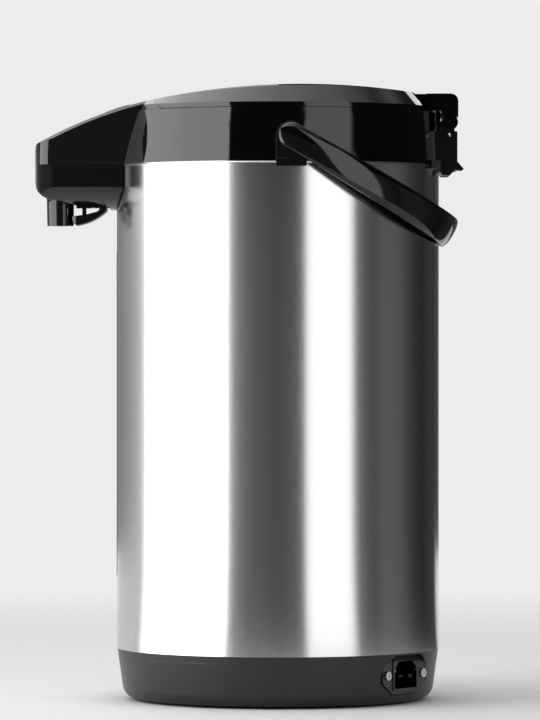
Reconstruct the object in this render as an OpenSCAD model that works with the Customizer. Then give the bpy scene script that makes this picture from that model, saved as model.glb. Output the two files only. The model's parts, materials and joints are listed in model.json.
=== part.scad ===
// Electric thermo pot: insulated water heater with a pump, a spout over a cup lever,
// a hinged lid and a swinging carrying handle.
// Frame: Z up, origin on the body's axis at the floor, the spout points to -X, the lid's hinge is at +X.

/* [Base] */
// Height of the base shell's wall top above the floor
base_h = 34; // [30:0.5:40]
// Wall of the plastic shells
wall = 2.5; // [2:0.1:3]
// Rounding of the base's lower edge
base_corner_r = 9; // [6:0.5:11]
// How much the base narrows from its top to the floor, on the radius
base_taper = 4.6; // [3:0.1:6]
// Radius of the bottom cover
cover_r = 86; // [80:0.5:88]
// How far the rubber foot ring stands proud of the cover
foot_h = 1; // [0.6:0.1:2]
// Mean radius of the foot ring
foot_r = 72; // [66:0.5:74]

/* [Jacket] */
// Outside diameter of the steel jacket
body_d = 212.6; // [208:0.2:216]
// Height of the steel jacket
jacket_h = 318; // [300:1:330]
// Sheet thickness of the jacket
jacket_t = 0.6; // [0.5:0.1:0.9]

/* [Collar] */
// Height of the collar's wall from the jacket to the lid's parting
collar_h = 34.5; // [32:0.5:38]
// How much the collar narrows over its height, on the radius
collar_draft = 1.7; // [0.5:0.1:2.5]
// Radius of the pot's mouth in the collar
mouth_r = 74; // [70:0.5:75]

/* [Lid] */
// Height of the lid's crown above the lid's parting
lid_rise = 18.5; // [17:0.5:20]
// Radius of the lid's crown along the spout's direction
crown_along_r = 470; // [440:5:520]
// Radius of the crown across the pot
crown_across_r = 1050; // [900:10:1300]
// Place of the crown's highest line behind the body's axis
crown_x = 16; // [8:1:22]
// Distance of the lid's front edge ahead of the body's axis
lid_front = 79.5; // [79:0.5:82]
// Distance of the lid's rear edge behind the body's axis
lid_rear = 94; // [90:0.5:96]
// Height of the lid's upright rim
lid_rim_h = 3.1; // [2.5:0.1:4]
// Gap at the lid's parting lines
lid_gap = 0.4; // [0.3:0.05:0.6]

/* [Spout] */
// Reach of the spout's nose from the body's axis
nose_x = 160.8; // [152:0.2:166]
// Width of the spout at its parting line
spout_w = 71; // [66:0.5:76]
// Outward lean of the upper spout's sides, in sideways mm for each mm of height
spout_lean = 0.53; // [0.3:0.01:0.6]
// Rounding of the nose's corners seen from above
nose_r = 13; // [9:0.5:18]
// Radius of the spout's roof line
roof_r = 270; // [220:5:330]
// Depth of the lower spout housing under the collar's foot
spout_drop = 29.5; // [25:0.5:32]
// Outside diameter of the water nozzle
nozzle_d = 18.2; // [15:0.1:20]
// Bore of the water nozzle
nozzle_bore_d = 9; // [7:0.1:10]
// Distance of the nozzle from the body's axis
nozzle_x = 143.6; // [140:0.2:146]
// How far the nozzle hangs below the collar's foot
nozzle_drop = 39.8; // [38:0.1:45]

/* [Handle] */
// Place of the handle's pivot behind the body's axis
pivot_x = 8.5; // [4:0.5:14]
// Height of the handle's pivot above the collar's foot
pivot_up = 16; // [14:0.5:18]
// Rest angle of the handle below level
handle_rest = 30; // [26:1:32]
// Reach of the handle's grip centre from its pivot
handle_reach = 120.5; // [119:0.1:124]
// Half width between the centres of the handle's arms
handle_half_w = 116; // [115.5:0.1:120]
// Thickness of the handle
handle_t = 6.4; // [5:0.1:7]
// Height of the handle's arm at the pivot
arm_h = 16.6; // [14:0.2:18]
// Height of the grip
grip_h = 20.4; // [18:0.2:23]
// Diameter of the handle's pivot pins
pivot_d = 8; // [6:0.1:9]

/* [Hinge] */
// Place of the lid hinge behind the body's axis
hinge_x = 113; // [112:0.1:114]
// Height of the lid hinge below the collar's top
hinge_down = 6.5; // [5.5:0.1:7]
// Radius of the hinge knuckles
knuckle_r = 5.2; // [4.6:0.1:5.6]
// Diameter of the hinge pin
hinge_pin_d = 4; // [3:0.1:5]
// Width of the hinge block
hinge_w = 48; // [44:0.5:54]
// Reach of the hinge block's back face behind the hinge
block_back = 5.4; // [5:0.1:7]

/* [Inner pot] */
// Inside radius of the pot
pot_r = 80; // [78:0.5:84]
// Width of the flange round the pot's mouth
pot_flange = 9; // [8:0.5:10]
// Sheet thickness of the pot
pot_t = 0.8; // [0.6:0.1:1.2]
// Height of the pot's floor above the ground
pot_floor = 62; // [60:0.5:70]

/* [Inlet] */
// Bearing of the mains inlet from the back, towards the near side
inlet_turn = 36; // [30:1:42]
// Height of the inlet's centre
inlet_z = 20; // [18.5:0.5:21]
// Distance of the inlet's face from the body's axis
inlet_face = 101.8; // [101.2:0.1:102.2]
// Distance between the inlet's screws
inlet_pitch = 40; // [38:0.5:42]

/* [Hidden] */
$fn = 96;
round_steps = 5;
crown_fn = 720;

// Colours
black_gloss = [0.05, 0.05, 0.055];
black_matt = [0.12, 0.12, 0.12];
steel = [0.78, 0.78, 0.79];
rubber = [0.18, 0.18, 0.18];
silicone = [0.86, 0.87, 0.88];
board_green = [0.1, 0.35, 0.2];

// Levels and radii
run_gap = 0.3;
pin_gap = 0.05;
body_r = body_d / 2;
jacket_in_r = body_r - jacket_t;
jacket_top = base_h + jacket_h;
collar_top = jacket_top + collar_h;
crown_z = collar_top + lid_rise;
collar_foot_r = body_r + 0.3;
collar_top_r = collar_foot_r - collar_draft;
rim_r = collar_top_r - 1.2;
rim_z = collar_top + lid_gap + lid_rim_h;
deck_t = 3;
deck_z = collar_top - 5.5;
deck_under = deck_z - deck_t;
hinge_z = collar_top - hinge_down;
pivot_z = jacket_top + pivot_up;

// Points of an arc with centre c from angle a0 to angle a1
function arc(c, r, a0, a1, n = 8) =
    [for (i = [0 : n]) let (a = a0 + (a1 - a0) * i / n) c + r * [cos(a), sin(a)]];
function unit(v) = v / norm(v);
function half_turn(a) = a > 180 ? a - 360 : a <= -180 ? a + 360 : a;
// Points that round the corner b between a and c
function fillet(a, b, c, r, n) =
    r <= 0 ? [b] :
    let (u = unit(a - b), v = unit(c - b), half = acos(u * v) / 2,
         m = b + unit(u + v) * r / sin(half), d = r / tan(half),
         s = b + u * d - m, e = b + v * d - m,
         a0 = atan2(s.y, s.x), da = half_turn(atan2(e.y, e.x) - a0))
    [for (i = [0 : n]) m + r * [cos(a0 + da * i / n), sin(a0 + da * i / n)]];
// An outline with each corner rounded by its own radius
function rounded(pts, radii, n = round_steps) =
    let (k = len(pts))
    [for (i = [0 : k - 1]) each fillet(pts[(i - 1 + k) % k], pts[i], pts[(i + 1) % k], radii[i], n)];
function box_pts(x0, y0, x1, y1) = [[x0, y0], [x1, y0], [x1, y1], [x0, y1]];

// Extrudes an XZ outline to both sides of the middle plane
module across(w) rotate([90, 0, 0]) linear_extrude(w, center = true) children();
// Extrudes an XZ outline from y0 to y1
module between(y0, y1) translate([0, y1, 0]) rotate([90, 0, 0]) linear_extrude(y1 - y0) children();
module ring(r_in, r_out, z0, z1)
    rotate_extrude() polygon(box_pts(r_in, z0, r_out, z1));
module mirrored() { children(); mirror([0, 1, 0]) children(); }
// A pin or bore along Y
module cross_pin(x, z, r, y0, y1)
    translate([x, y1, z]) rotate([90, 0, 0]) cylinder(r = r, h = y1 - y0);

// ---------- Crowned top that the lid and the spout share ----------

axis_z = crown_z - crown_across_r;
sweep_half = 7;
lid_arc_c = [crown_x, crown_z - crown_along_r];
front_slope = asin((crown_x + lid_front) / crown_along_r);
roof_c = lid_arc_c + (crown_along_r - roof_r) * [-sin(front_slope), cos(front_slope)];
function roof_z(x) = roof_c.y + sqrt(roof_r * roof_r - pow(x - roof_c.x, 2));
function roof_slope(x) = asin((roof_c.x - x) / roof_r);
roof_end = -nose_x - 8;
roof_line = arc(roof_c, roof_r, 90 + front_slope - 2, 90 + roof_slope(roof_end), 12);

// Solid under the lid's crowned surface
module lid_roof(drop = 0)
    translate([0, 0, axis_z]) rotate([0, -90, 0])
        rotate_extrude(angle = 2 * sweep_half, start = -sweep_half, $fn = crown_fn)
            intersection() {
                translate([crown_across_r - crown_along_r - drop, -crown_x])
                    circle(crown_along_r, $fn = crown_fn);
                translate([crown_across_r - 60, -150]) square([80, 300]);
            }

// Solid under the spout's crowned roof
module spout_roof(drop = 0)
    translate([0, 0, axis_z]) rotate([0, -90, 0])
        rotate_extrude(angle = 2 * sweep_half, start = -sweep_half, $fn = crown_fn)
            polygon(concat([for (p = roof_line) [p.y - drop - axis_z, -p.x]],
                [[crown_across_r - 130, -roof_end], [crown_across_r - 130, lid_front - 30]]));

// ---------- Lid outline ----------

lid_foot = collar_top + lid_gap;
lid_top_cut = crown_z + 5;
// The lid seen from the side: rounded under its front edge, sloped at its rear edge
function lid_side(grow) = rounded([
        [-lid_front - grow, lid_foot - grow], [lid_rear + grow, lid_foot - grow],
        [lid_rear + grow, rim_z], [lid_rear + grow - 9, lid_top_cut - 4], [lid_rear + grow - 9, lid_top_cut],
        [-lid_front - grow, lid_top_cut]],
    [6.5 + grow, 0, 0, 0, 0, 0]);

// The upright rim with the bevelled band over it
module lid_band(inset = 0)
    rotate_extrude() polygon([
        [0, lid_foot - 20], [rim_r - inset, lid_foot - 20], [rim_r - inset, rim_z - inset * 0.4],
        [rim_r - inset - 16, rim_z + 16 - inset * 0.4], [0, rim_z + 16 - inset * 0.4]]);

arm_w = 34;
block_x0 = 96.6;
block_top = crown_z - 6.3;
block_x1 = hinge_x + block_back;
knuckle_in = 15.4;
// Closed end of the lid knuckle's bore on the near side
pin_cap = 2;

module lid_hinge_arm() {
    across(arm_w) polygon([
        [lid_rear - 10, lid_foot + 0.6], [block_x0 + 1, lid_foot + 0.6],
        [block_x0 + 1, block_top], [lid_rear - 8, block_top]]);
    difference() {
        across(hinge_w) polygon(rounded([
            [block_x0, lid_foot + 0.6], [collar_foot_r + 1, lid_foot + 0.6],
            [collar_foot_r + 1, collar_top - 3], [block_x1, collar_top - 3],
            [block_x1, block_top], [block_x0, block_top]],
            [0, 0, 0, 0, 5, 1]));
        // Clearance over the bracket's own knuckles
        cross_pin(hinge_x, hinge_z, knuckle_r + 0.5, -knuckle_in, knuckle_in);
    }
    mirrored() {
        cross_pin(hinge_x, hinge_z, knuckle_r, knuckle_in, hinge_w / 2);
        between(knuckle_in, hinge_w / 2)
            polygon(box_pts(hinge_x - 3.5, hinge_z, hinge_x + 3.5, collar_top - 2));
    }
}

module lid_shell() color(black_gloss) difference() {
    union() {
        difference() {
            intersection() {
                lid_roof();
                lid_band();
                across(300) polygon(lid_side(0));
            }
            intersection() {
                lid_roof(wall);
                lid_band(wall);
                lid_inside();
            }
            intersection() {
                ring(0, rim_r - wall, lid_foot - 10, plate_z + plate_t);
                lid_inside();
            }
        }
        lid_hinge_arm();
        latch_walls();
    }
    cross_pin(hinge_x, hinge_z, hinge_pin_d / 2 + pin_gap, -hinge_w / 2 + pin_cap, hinge_w);
    latch_well();
    vent_hole();
}

// ---------- Lid fittings ----------

plug_r = mouth_r - 2;
plug_depth = 13;
plate_t = 1.6;
plate_z = lid_foot + 0.2;

// Room in the lid between its front strip and the hinge arm
lid_front_strip = 6.8;
module lid_inside(gap = 0)
    translate([-lid_front + lid_front_strip + gap, -110, lid_foot - 30])
        cube([lid_front + lid_rear - 9 - wall - lid_front_strip - 2 * gap, 220, 60]);

// Dished plate that closes the lid from below and dips into the pot's mouth
module lid_inner_plate() color(steel) difference() {
    intersection() {
        union() {
            ring(0, rim_r - wall - 0.2, plate_z, plate_z + plate_t);
            ring(0, plug_r, collar_top - plug_depth, plate_z + plate_t);
        }
        lid_inside(0.2);
    }
    ring(0, plug_r - plate_t, collar_top - plug_depth + plate_t, plate_z + 2 * plate_t);
    for (a = [0 : 60 : 300]) rotate(a) translate([12, 0, collar_top - plug_depth - 1])
        cylinder(r = 2, h = 4, $fn = 24);
}

module lid_gasket() color(silicone) rotate_extrude() polygon([
    [plug_r + 0.05, lid_foot - 0.1], [plug_r + 0.05, plate_z - 2.2], [plug_r + 2, deck_z + 0.3],
    [plug_r + 4, deck_z + 0.3], [plug_r + 2.2, plate_z - 2], [plug_r + 3.6, lid_foot - 0.1]]);

vent_x = 52;
vent_r = 13;
function lid_line(x) = lid_arc_c.y + sqrt(pow(crown_along_r, 2) - pow(x - crown_x, 2));
function lid_slope(x) = asin((crown_x - x) / crown_along_r);
// Local frame on the lid's surface, its axis square to the lid
module on_lid(x) translate([x, 0, lid_line(x)]) rotate([0, -lid_slope(x), 0]) children();
module vent_hole() on_lid(vent_x) translate([0, 0, -12]) cylinder(r = vent_r, h = 20);
// Slotted steam cap set flush in the lid
module steam_vent() color(black_matt) on_lid(vent_x) difference() {
    union() {
        translate([0, 0, -wall - 0.8]) cylinder(r = vent_r - 0.2, h = wall + 0.6);
        translate([0, 0, -wall - 0.9]) cylinder(r = vent_r + 1.5, h = 0.7);
        translate([0, 0, -9]) cylinder(r = 8, h = 7);
    }
    for (i = [-3 : 3]) translate([-7, i * 3 - 0.7, -5]) cube([14, 1.4, 10]);
    translate([0, 0, -10]) cylinder(r = 6.4, h = 8.5);
}

// ---------- Lid latch ----------

latch_w = 38;
latch_len = 28;
latch_travel = 5;
latch_x0 = -lid_front + 5.5;
latch_t = 3;
latch_floor = lid_line(latch_x0) - latch_t - 3.8;
tooth_half = 5;
tooth_h = 2.2;
// Outline under the lid's surface from x0 to x1, dropped by d, down to z0
function lid_strip(x0, x1, d, z0) = concat([[x1, z0], [x0, z0]],
    [for (i = [0 : 6]) let (x = x0 + (x1 - x0) * i / 6) [x, lid_line(x) - d]]);

module latch_well() {
    translate([latch_x0, -latch_w / 2, latch_floor]) cube([latch_len + latch_travel + 1, latch_w, 40]);
    // Window for the latch's tooth
    translate([-lid_front - 3, -tooth_half - run_gap, latch_floor])
        cube([latch_x0 + lid_front + 4, 2 * (tooth_half + run_gap), tooth_h + 2 * run_gap]);
}
// Tray of the latch well
module latch_walls()
    intersection() {
        translate([latch_x0 - 1.6, -latch_w / 2 - 1.6, plate_z + plate_t])
            cube([latch_len + latch_travel + 4.2, latch_w + 3.2, 40]);
        lid_roof(1);
        lid_band(1);
    }
// Sliding latch: plate flush with the lid, runners, and a tooth towards the collar's catch
module lid_latch() color(black_gloss) difference() {
    union() {
        across(latch_w - 2 * run_gap) polygon(lid_strip(latch_x0 + run_gap, latch_x0 + latch_len, 0.25,
            lid_line(latch_x0) - latch_t));
        mirrored() between(latch_w / 2 - 4, latch_w / 2 - run_gap) polygon(box_pts(
            latch_x0 + run_gap, latch_floor + run_gap, latch_x0 + latch_len, lid_line(latch_x0) - latch_t + 1));
        across(2 * tooth_half) polygon([
            [-lid_front + 0.1, latch_floor + run_gap], [latch_x0 + 8, latch_floor + run_gap],
            [latch_x0 + 8, lid_line(latch_x0) - 1], [latch_x0 + run_gap, lid_line(latch_x0) - 1],
            [latch_x0 + run_gap, latch_floor + run_gap + tooth_h],
            [-lid_front + 1.2, latch_floor + run_gap + tooth_h]]);
    }
    // Finger ridges
    for (i = [0 : 3]) translate([latch_x0 + 8 + i * 4, 0, lid_line(latch_x0 + 8 + i * 4) + 0.2])
        rotate([90, 0, 0]) cylinder(r = 0.9, h = latch_w - 12, center = true, $fn = 24);
}

// ---------- Spout and collar ----------

wedge_h = 52;
function spout_half(z) = spout_w / 2 + spout_lean * (z - jacket_top);
function spout_plan(half, nose, r) = rounded([
        [-60, half], [-nose + 3.5, half], [-nose, 0], [-nose + 3.5, -half], [-60, -half]],
    [0, r, 140, r, 0]);
module spout_slice(z, inset)
    translate([0, 0, z]) linear_extrude(0.02)
        polygon(spout_plan(spout_half(z) - inset * 1.13, nose_x - inset, nose_r - inset * 0.8));
// Sides of the upper spout, leaning outwards
module spout_wedge(inset) hull() {
    spout_slice(jacket_top - 0.01, inset);
    spout_slice(jacket_top + wedge_h, inset);
}
nose_t = -nose_x + 11;
nose_cut = [nose_t, roof_z(nose_t)];
nose_slope = roof_slope(nose_t);
// Height of the straight line that carries the roof on to the nose
function nose_line(x, inset) = nose_cut.y + (x - nose_t) * tan(nose_slope) - inset / cos(nose_slope);
// Rounds the nose where the roof meets it
module nose_form(inset)
    across(200) polygon(rounded([
        [-60, jacket_top - 2], [-nose_x + inset, jacket_top - 2],
        [-nose_x + inset + 1.3, nose_line(-nose_x + inset + 1.3, inset)],
        [-60, nose_line(-60, inset)]],
        [0, 0, 9 - inset, 0]));
bevel_cut = 3.2;
bevel_line = arc(roof_c, roof_r, 90 + front_slope - 3, 90 + roof_slope(roof_end - 3), 9);
// Bevel along the edge between the spout's roof and its side
module edge_bevel(side, inset)
    rotate([-45 * side, 0, 0]) across(900) polygon(concat(
        [for (p = bevel_line)
            [p.x, cos(45) * p.y + sin(45) * spout_half(p.y) - bevel_cut - inset * 1.2]],
        [[roof_end - 3, -300], [-lid_front + 30, -300]]));

module spout_upper(inset = 0) intersection() {
    spout_wedge(inset);
    spout_roof(inset);
    nose_form(inset);
    edge_bevel(1, inset);
    edge_bevel(-1, inset);
}

// Round part of the head between the collar and the lid's front edge
module front_cap(inset = 0) intersection() {
    rotate_extrude() polygon([
        [0, jacket_top + 3], [collar_foot_r - inset - 0.2, jacket_top + 3],
        [collar_top_r - inset, collar_top], [rim_r - inset, collar_top + lid_gap],
        [rim_r - inset, rim_z - inset * 0.4], [rim_r - inset - 16, rim_z + 16 - inset * 0.4],
        [0, rim_z + 16 - inset * 0.4]]);
    spout_roof(inset);
    translate([-200, -120, 0]) cube([200 - lid_front + 8, 240, 2 * crown_z]);
}

spigot_h = 7;
spigot_gap = 0.3;
boss_out = 3;
clamp_boss_r = pot_r + pot_flange + boss_out;
clamp_z0 = deck_under - 6.5;
module collar_ring() rotate_extrude() {
    polygon([
        [collar_foot_r - wall, jacket_top], [collar_foot_r, jacket_top],
        [collar_top_r, collar_top], [collar_top_r - wall, collar_top],
        [collar_top_r - wall, deck_z], [mouth_r, deck_z], [mouth_r, deck_z - 13],
        [mouth_r + wall, deck_z - 13], [mouth_r + wall, deck_under],
        [collar_top_r - wall - 0.2, deck_under]]);
    // Spigot that centres the collar in the jacket
    polygon(box_pts(jacket_in_r - spigot_gap - 2, jacket_top - spigot_h,
        jacket_in_r - spigot_gap, jacket_top + 2));
}

module top_housing() color(black_gloss) difference() {
    union() {
        collar_ring();
        difference() {
            union() {
                intersection() { spout_upper(); translate([-200, -100, 0]) cube([125, 200, 600]); }
                front_cap();
            }
            across(300) polygon(lid_side(lid_gap));
            difference() {
                union() { spout_upper(wall); front_cap(wall); }
                translate([-lid_front - wall, -150, 0]) cube([200, 300, 600]);
            }
            // Room inside the collar
            ring(0, mouth_r + wall, 0, 2 * crown_z);
            translate([-lid_front - wall - 1, -150, jacket_top - 5])
                cube([60, 300, deck_under - jacket_top + 5]);
            rotate_extrude() polygon([[0, jacket_top - 9], [collar_foot_r - wall, jacket_top - 9],
                [collar_foot_r - wall, jacket_top], [collar_top_r - wall, deck_under], [0, deck_under]]);
        }
        board_posts();
        for (a = [45 : 90 : 315]) rotate(a) translate([clamp_boss_r, 0, deck_under - 3])
            cylinder(r = 4, h = 4);
    }
    // The spout is open to the inside of the collar
    intersection() {
        spout_upper(wall);
        translate([-130, -150, jacket_top - 1]) cube([130 - lid_front - wall, 300, 100]);
    }
    translate([-body_r - 5, -16, jacket_top - spigot_h - 1]) cube([20, 32, spigot_h + 1.02]);
    panel_pocket();
    button_holes();
    for (a = [45 : 90 : 315]) rotate(a) translate([clamp_boss_r, 0, deck_under - 4])
        cylinder(r = 1.6, h = 6);
    mirrored() cross_pin(pivot_x, pivot_z, pivot_d / 2, 90, 120);
    // Catch window for the latch's tooth
    translate([-lid_front - 6, -tooth_half - 1, latch_floor - 0.5]) cube([8, 2 * tooth_half + 2, tooth_h + 1.5]);
}

// ---------- Control panel ----------

panel_t = 1.4;
panel_x0 = -nose_x + 11;
panel_x1 = -lid_front - 5;
panel_half = spout_half(jacket_top) + 4;
panel_mid = (panel_x0 + panel_x1) / 2;
panel_tilt = roof_slope(panel_mid);
button_r = 8.6;
button_travel = 1.2;
dispense_x = panel_mid - 14;
small_x = panel_mid + 12;
small_y = 17;
// Local frame of a button: its origin on the roof, its axis square to the roof
module on_roof(x, y = 0)
    translate([x, y, roof_z(x) - y * y / (2 * crown_across_r)]) rotate([0, -roof_slope(x), 0]) children();

function panel_plan(gap) = rounded([
        [panel_x0 - gap, -panel_half + 8 - gap], [panel_x1 + gap, -panel_half - gap],
        [panel_x1 + gap, panel_half + gap], [panel_x0 - gap, panel_half - 8 + gap]],
    [9, 4, 4, 9]);
module panel_pocket() difference() {
    translate([0, 0, jacket_top]) linear_extrude(80) polygon(panel_plan(0.1));
    spout_roof(panel_t);
}
module button_holes(r = button_r + run_gap) {
    on_roof(dispense_x) translate([0, 0, -9]) cylinder(r = r + 2.4, h = 20);
    for (s = [-1, 1]) on_roof(small_x, s * small_y) translate([0, 0, -9]) cylinder(r = r, h = 20);
    lamp_places() translate([0, 0, -6]) cylinder(r = 2, h = 12, $fn = 32);
}
module lamp_places() for (s = [-1, 0, 1]) on_roof(panel_mid + 1, s * 9) children();
module control_panel() color(black_gloss) difference() {
    intersection() {
        spout_roof();
        translate([0, 0, jacket_top]) linear_extrude(80) polygon(panel_plan(0));
    }
    spout_roof(panel_t);
    button_holes();
}
module lamp_lenses() color([0.8, 0.25, 0.15]) lamp_places()
    translate([0, 0, -5]) cylinder(r = 2, h = 5, $fn = 32);
board_depth = 11;
board_t = 1.6;
board_z = -board_depth - board_t;
key_h = 3;
stem_foot = board_z + key_h + button_travel + 0.2;
// Cap, guide and retaining flange of a push button
module button(r) {
    translate([0, 0, -4.2]) cylinder(r = r, h = 5);
    translate([0, 0, -4.2]) cylinder(r = r + 1.4, h = 1.2);
    translate([0, 0, stem_foot]) cylinder(r = 2, h = -4.1 - stem_foot, $fn = 32);
}
module dispense_button() color([0.75, 0.1, 0.08]) on_roof(dispense_x) button(button_r + 2.4);
module reboil_button() color([0.3, 0.3, 0.32]) on_roof(small_x, -small_y) button(button_r);
module unlock_button() color([0.3, 0.3, 0.32]) on_roof(small_x, small_y) button(button_r);

module board_frame() on_roof(panel_mid) children();
post_x = 27;
post_y = 24;
module post_places() for (sx = [-1, 1], sy = [-1, 1]) translate([sx * post_x, sy * post_y, 0]) children();
module board_posts() board_frame() post_places()
    translate([0, 0, -board_depth]) cylinder(r = 2.6, h = board_depth - wall - 0.8, $fn = 32);
module control_board() color(board_green) union() {
    board_frame() translate([-post_x - 4, -post_y - 4, board_z])
        cube([2 * post_x + 8, 2 * post_y + 8, board_t]);
    // Key switches under the buttons
    on_roof(dispense_x) translate([-3, -3, board_z]) cube([6, 6, key_h]);
    for (s = [-1, 1]) on_roof(small_x, s * small_y) translate([-3, -3, board_z]) cube([6, 6, key_h]);
    lamp_places() translate([-1.5, -1.5, board_z]) cube([3, 3, -board_z - 5]);
}

// ---------- Lower spout housing, nozzle, cup lever ----------

spout_floor = jacket_top - spout_drop;
lower_half = spout_w / 2 - 0.3;
housing_gap = 0.6;
belly_r = 50;
belly_half = asin(lower_half / belly_r);
// Lower housing from the side: rounded nose, level floor at the nozzle, sloped floor behind it
function lower_side(i) = rounded([
        [-60, jacket_top - 0.02 + 2 * i], [-nose_x + i, jacket_top - 0.02 + 2 * i],
        [-nose_x + 2 + i, spout_floor + 7.6 + i * 0.7], [-nozzle_x + 1.6, spout_floor + 5.8 + i],
        [-nozzle_x + 12, spout_floor + 2.8 + i], [-60, spout_floor - 5.2 + i]],
    [0, 0, 13 - i, 18, 18, 0]);
// Lower housing from the front: upright sides over a belly of large radius
function lower_front(i) = concat(
    arc([0, spout_floor + belly_r], belly_r - i, 270 - belly_half, 270 + belly_half, 16),
    [[lower_half - i, jacket_top + 10], [-lower_half + i, jacket_top + 10]]);
module lower_form(i) intersection() {
    across(200) polygon(lower_side(i));
    translate([0, 0, spout_floor - 10]) linear_extrude(spout_drop + 20)
        polygon(spout_plan(lower_half - i, nose_x - i, nose_r - i * 0.8));
    rotate([90, 0, 90]) translate([0, 0, -200]) linear_extrude(160) polygon(lower_front(i));
}
lever_x = -114.7;
lever_z = spout_floor + 4.2;
lever_r = 2.6;
lever_half = 13;
module spout_lower_housing() color(black_gloss) difference() {
    union() {
        difference() {
            lower_form(0);
            lower_form(wall);
        }
        // Seat of the nozzle and ears of the lever's pin
        intersection() {
            lower_form(0);
            translate([-nozzle_x, 0, spout_floor]) cylinder(r = 12, h = nozzle_seat - spout_floor);
        }
        intersection() {
            lower_form(0);
            mirrored() {
                cross_pin(lever_x, lever_z, lever_r, lever_half + run_gap, lever_half + 3);
                between(lever_half + run_gap, lever_half + 3)
                    polygon(box_pts(lever_x - lever_r, spout_floor, lever_x + lever_r, lever_z));
            }
        }
        // Post that carries the switch
        translate([plunger_x - 5, -16, spout_floor + 1]) cube([10, 2.5, 23]);
    }
    translate([0, 0, spout_floor - 20]) cylinder(r = body_r + housing_gap, h = spout_drop + 40);
    translate([-nozzle_x, 0, spout_floor - 5]) cylinder(r = nozzle_d / 2 + 0.1, h = 30);
    translate([-nozzle_x, 0, nozzle_seat]) cylinder(r = nozzle_d / 2 + seat_lip + 0.1, h = 10);
    // Mouth that the lever's neck swings in
    across(2 * (lever_half + run_gap)) polygon(box_pts(
        lever_x - 5, spout_floor - 5, lever_x + 4.2, lever_z + lever_r));
    cross_pin(lever_x, lever_z, lever_pin_r, -30, 30);
    // Slot for the lever's plunger
    translate([plunger_x - 2.6, plunger_y - 3, spout_floor - 2]) cube([6, 6, 12]);
}

nozzle_foot = jacket_top - nozzle_drop;
nozzle_seat = spout_floor + 8.6;
seat_lip = 0.7;
nozzle_head = jacket_top - 4;
tube_z = jacket_top - 11;
spigot_r = 4.5;
nozzle_back = -nozzle_x + 20;
module nozzle() color(black_matt) difference() {
    union() {
        translate([-nozzle_x, 0, nozzle_foot])
            cylinder(r1 = nozzle_d / 2 - 0.4, r2 = nozzle_d / 2, h = nozzle_seat - nozzle_foot);
        translate([-nozzle_x, 0, nozzle_seat]) cylinder(r = nozzle_d / 2 + seat_lip, h = 2);
        translate([-nozzle_x, 0, nozzle_seat]) cylinder(r = 7, h = nozzle_head - nozzle_seat);
        translate([-nozzle_x, 0, tube_z]) rotate([0, 90, 0]) cylinder(r = spigot_r, h = 20);
    }
    translate([-nozzle_x, 0, nozzle_foot - 1]) cylinder(r = nozzle_bore_d / 2, h = nozzle_head - nozzle_foot - 1);
    translate([-nozzle_x, 0, tube_z]) rotate([0, 90, 0]) cylinder(r = spigot_r - 1.5, h = 21);
}

plunger_x = -127.5;
plunger_y = -9;
lever_pin_r = 1.25;
lever_front = -nozzle_x + 7.6;
lever_top = spout_floor - 4.1;
lever_bow_r = 36;
lever_bow_c = [-nozzle_x + 6, nozzle_foot + 35.9];
lever_wrap = 1.7;
// Crescent that a cup pushes up, forked round the nozzle, with a neck into the housing
module cup_lever() color(black_matt) difference() {
    union() {
        intersection() {
            across(2 * lever_half) polygon(concat(
                [[lever_front, lever_top], [lever_front + 1.4, lever_top - 4.7]],
                arc(lever_bow_c, lever_bow_r, -82, -46.5, 8),
                [[lever_x + 2.4, lever_z], [lever_x - 2.4, lever_z], [lever_x - 3, spout_floor],
                 [lever_x - 4.6, spout_floor - 1.1], [plunger_x, spout_floor - 3.1]]));
            translate([lever_front, 0, 0]) linear_extrude(600) polygon(rounded(
                box_pts(0, -lever_half, 40, lever_half), [4, 4, 4, 4]));
        }
        cross_pin(lever_x, lever_z, lever_r, -lever_half, lever_half);
        translate([plunger_x - 1.35, plunger_y - 1.8, lever_top - 1]) cube([2.7, 3.6, spout_floor + 10 - lever_top]);
    }
    cross_pin(lever_x, lever_z, lever_pin_r + pin_gap, -30, 30);
    translate([-nozzle_x, 0, nozzle_foot - 5]) cylinder(r = nozzle_d / 2 + lever_wrap, h = 40);
}
module lever_pin() color(steel)
    cross_pin(lever_x, lever_z, lever_pin_r, -lever_half - 3, lever_half + 3);
module lever_switch() color([0.2, 0.2, 0.22])
    translate([plunger_x - 5, -13.5, spout_floor + 12.6]) cube([10, 7, 11.4]);

// ---------- Water path ----------

riser_x = -93;
tube_r = 6;
riser_top = tube_z - 12;
bend_r = 9;
pump_x = -45;
pump_out_z = 42;
// Quarter bend in the XZ plane: centre, start angle
module bend(x, z, r_in, r_out, start)
    translate([x, 0, z]) rotate([90, 0, 0]) rotate_extrude(angle = 90, start = start)
        translate([bend_r, 0]) difference() { circle(r_out); if (r_in > 0) circle(r_in); }
module tube_up(x, r_in, r_out, z0, z1) translate([x, 0, 0]) ring(r_in, r_out, z0, z1);
module tube_along(x0, x1, z, r_in, r_out)
    translate([x0, 0, z]) rotate([0, 90, 0]) difference() {
        cylinder(r = r_out, h = x1 - x0);
        translate([0, 0, -1]) cylinder(r = r_in, h = x1 - x0 + 2);
    }
module outlet_tube() color(silicone) {
    tube_up(riser_x, spigot_r, tube_r, riser_top - 12, tube_z - bend_r);
    bend(riser_x - bend_r, tube_z - bend_r, spigot_r, tube_r, 0);
    tube_along(nozzle_back - 12.6, riser_x - bend_r, tube_z, spigot_r, tube_r);
}
module riser_tube() color([0.8, 0.9, 0.95, 0.6]) {
    tube_up(riser_x, spigot_r - 1.2, spigot_r, pump_out_z + bend_r, riser_top);
    bend(riser_x + bend_r, pump_out_z + bend_r, spigot_r - 1.2, spigot_r, 180);
    tube_along(riser_x + bend_r, pump_x - 22, pump_out_z, spigot_r - 1.2, spigot_r);
}

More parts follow.
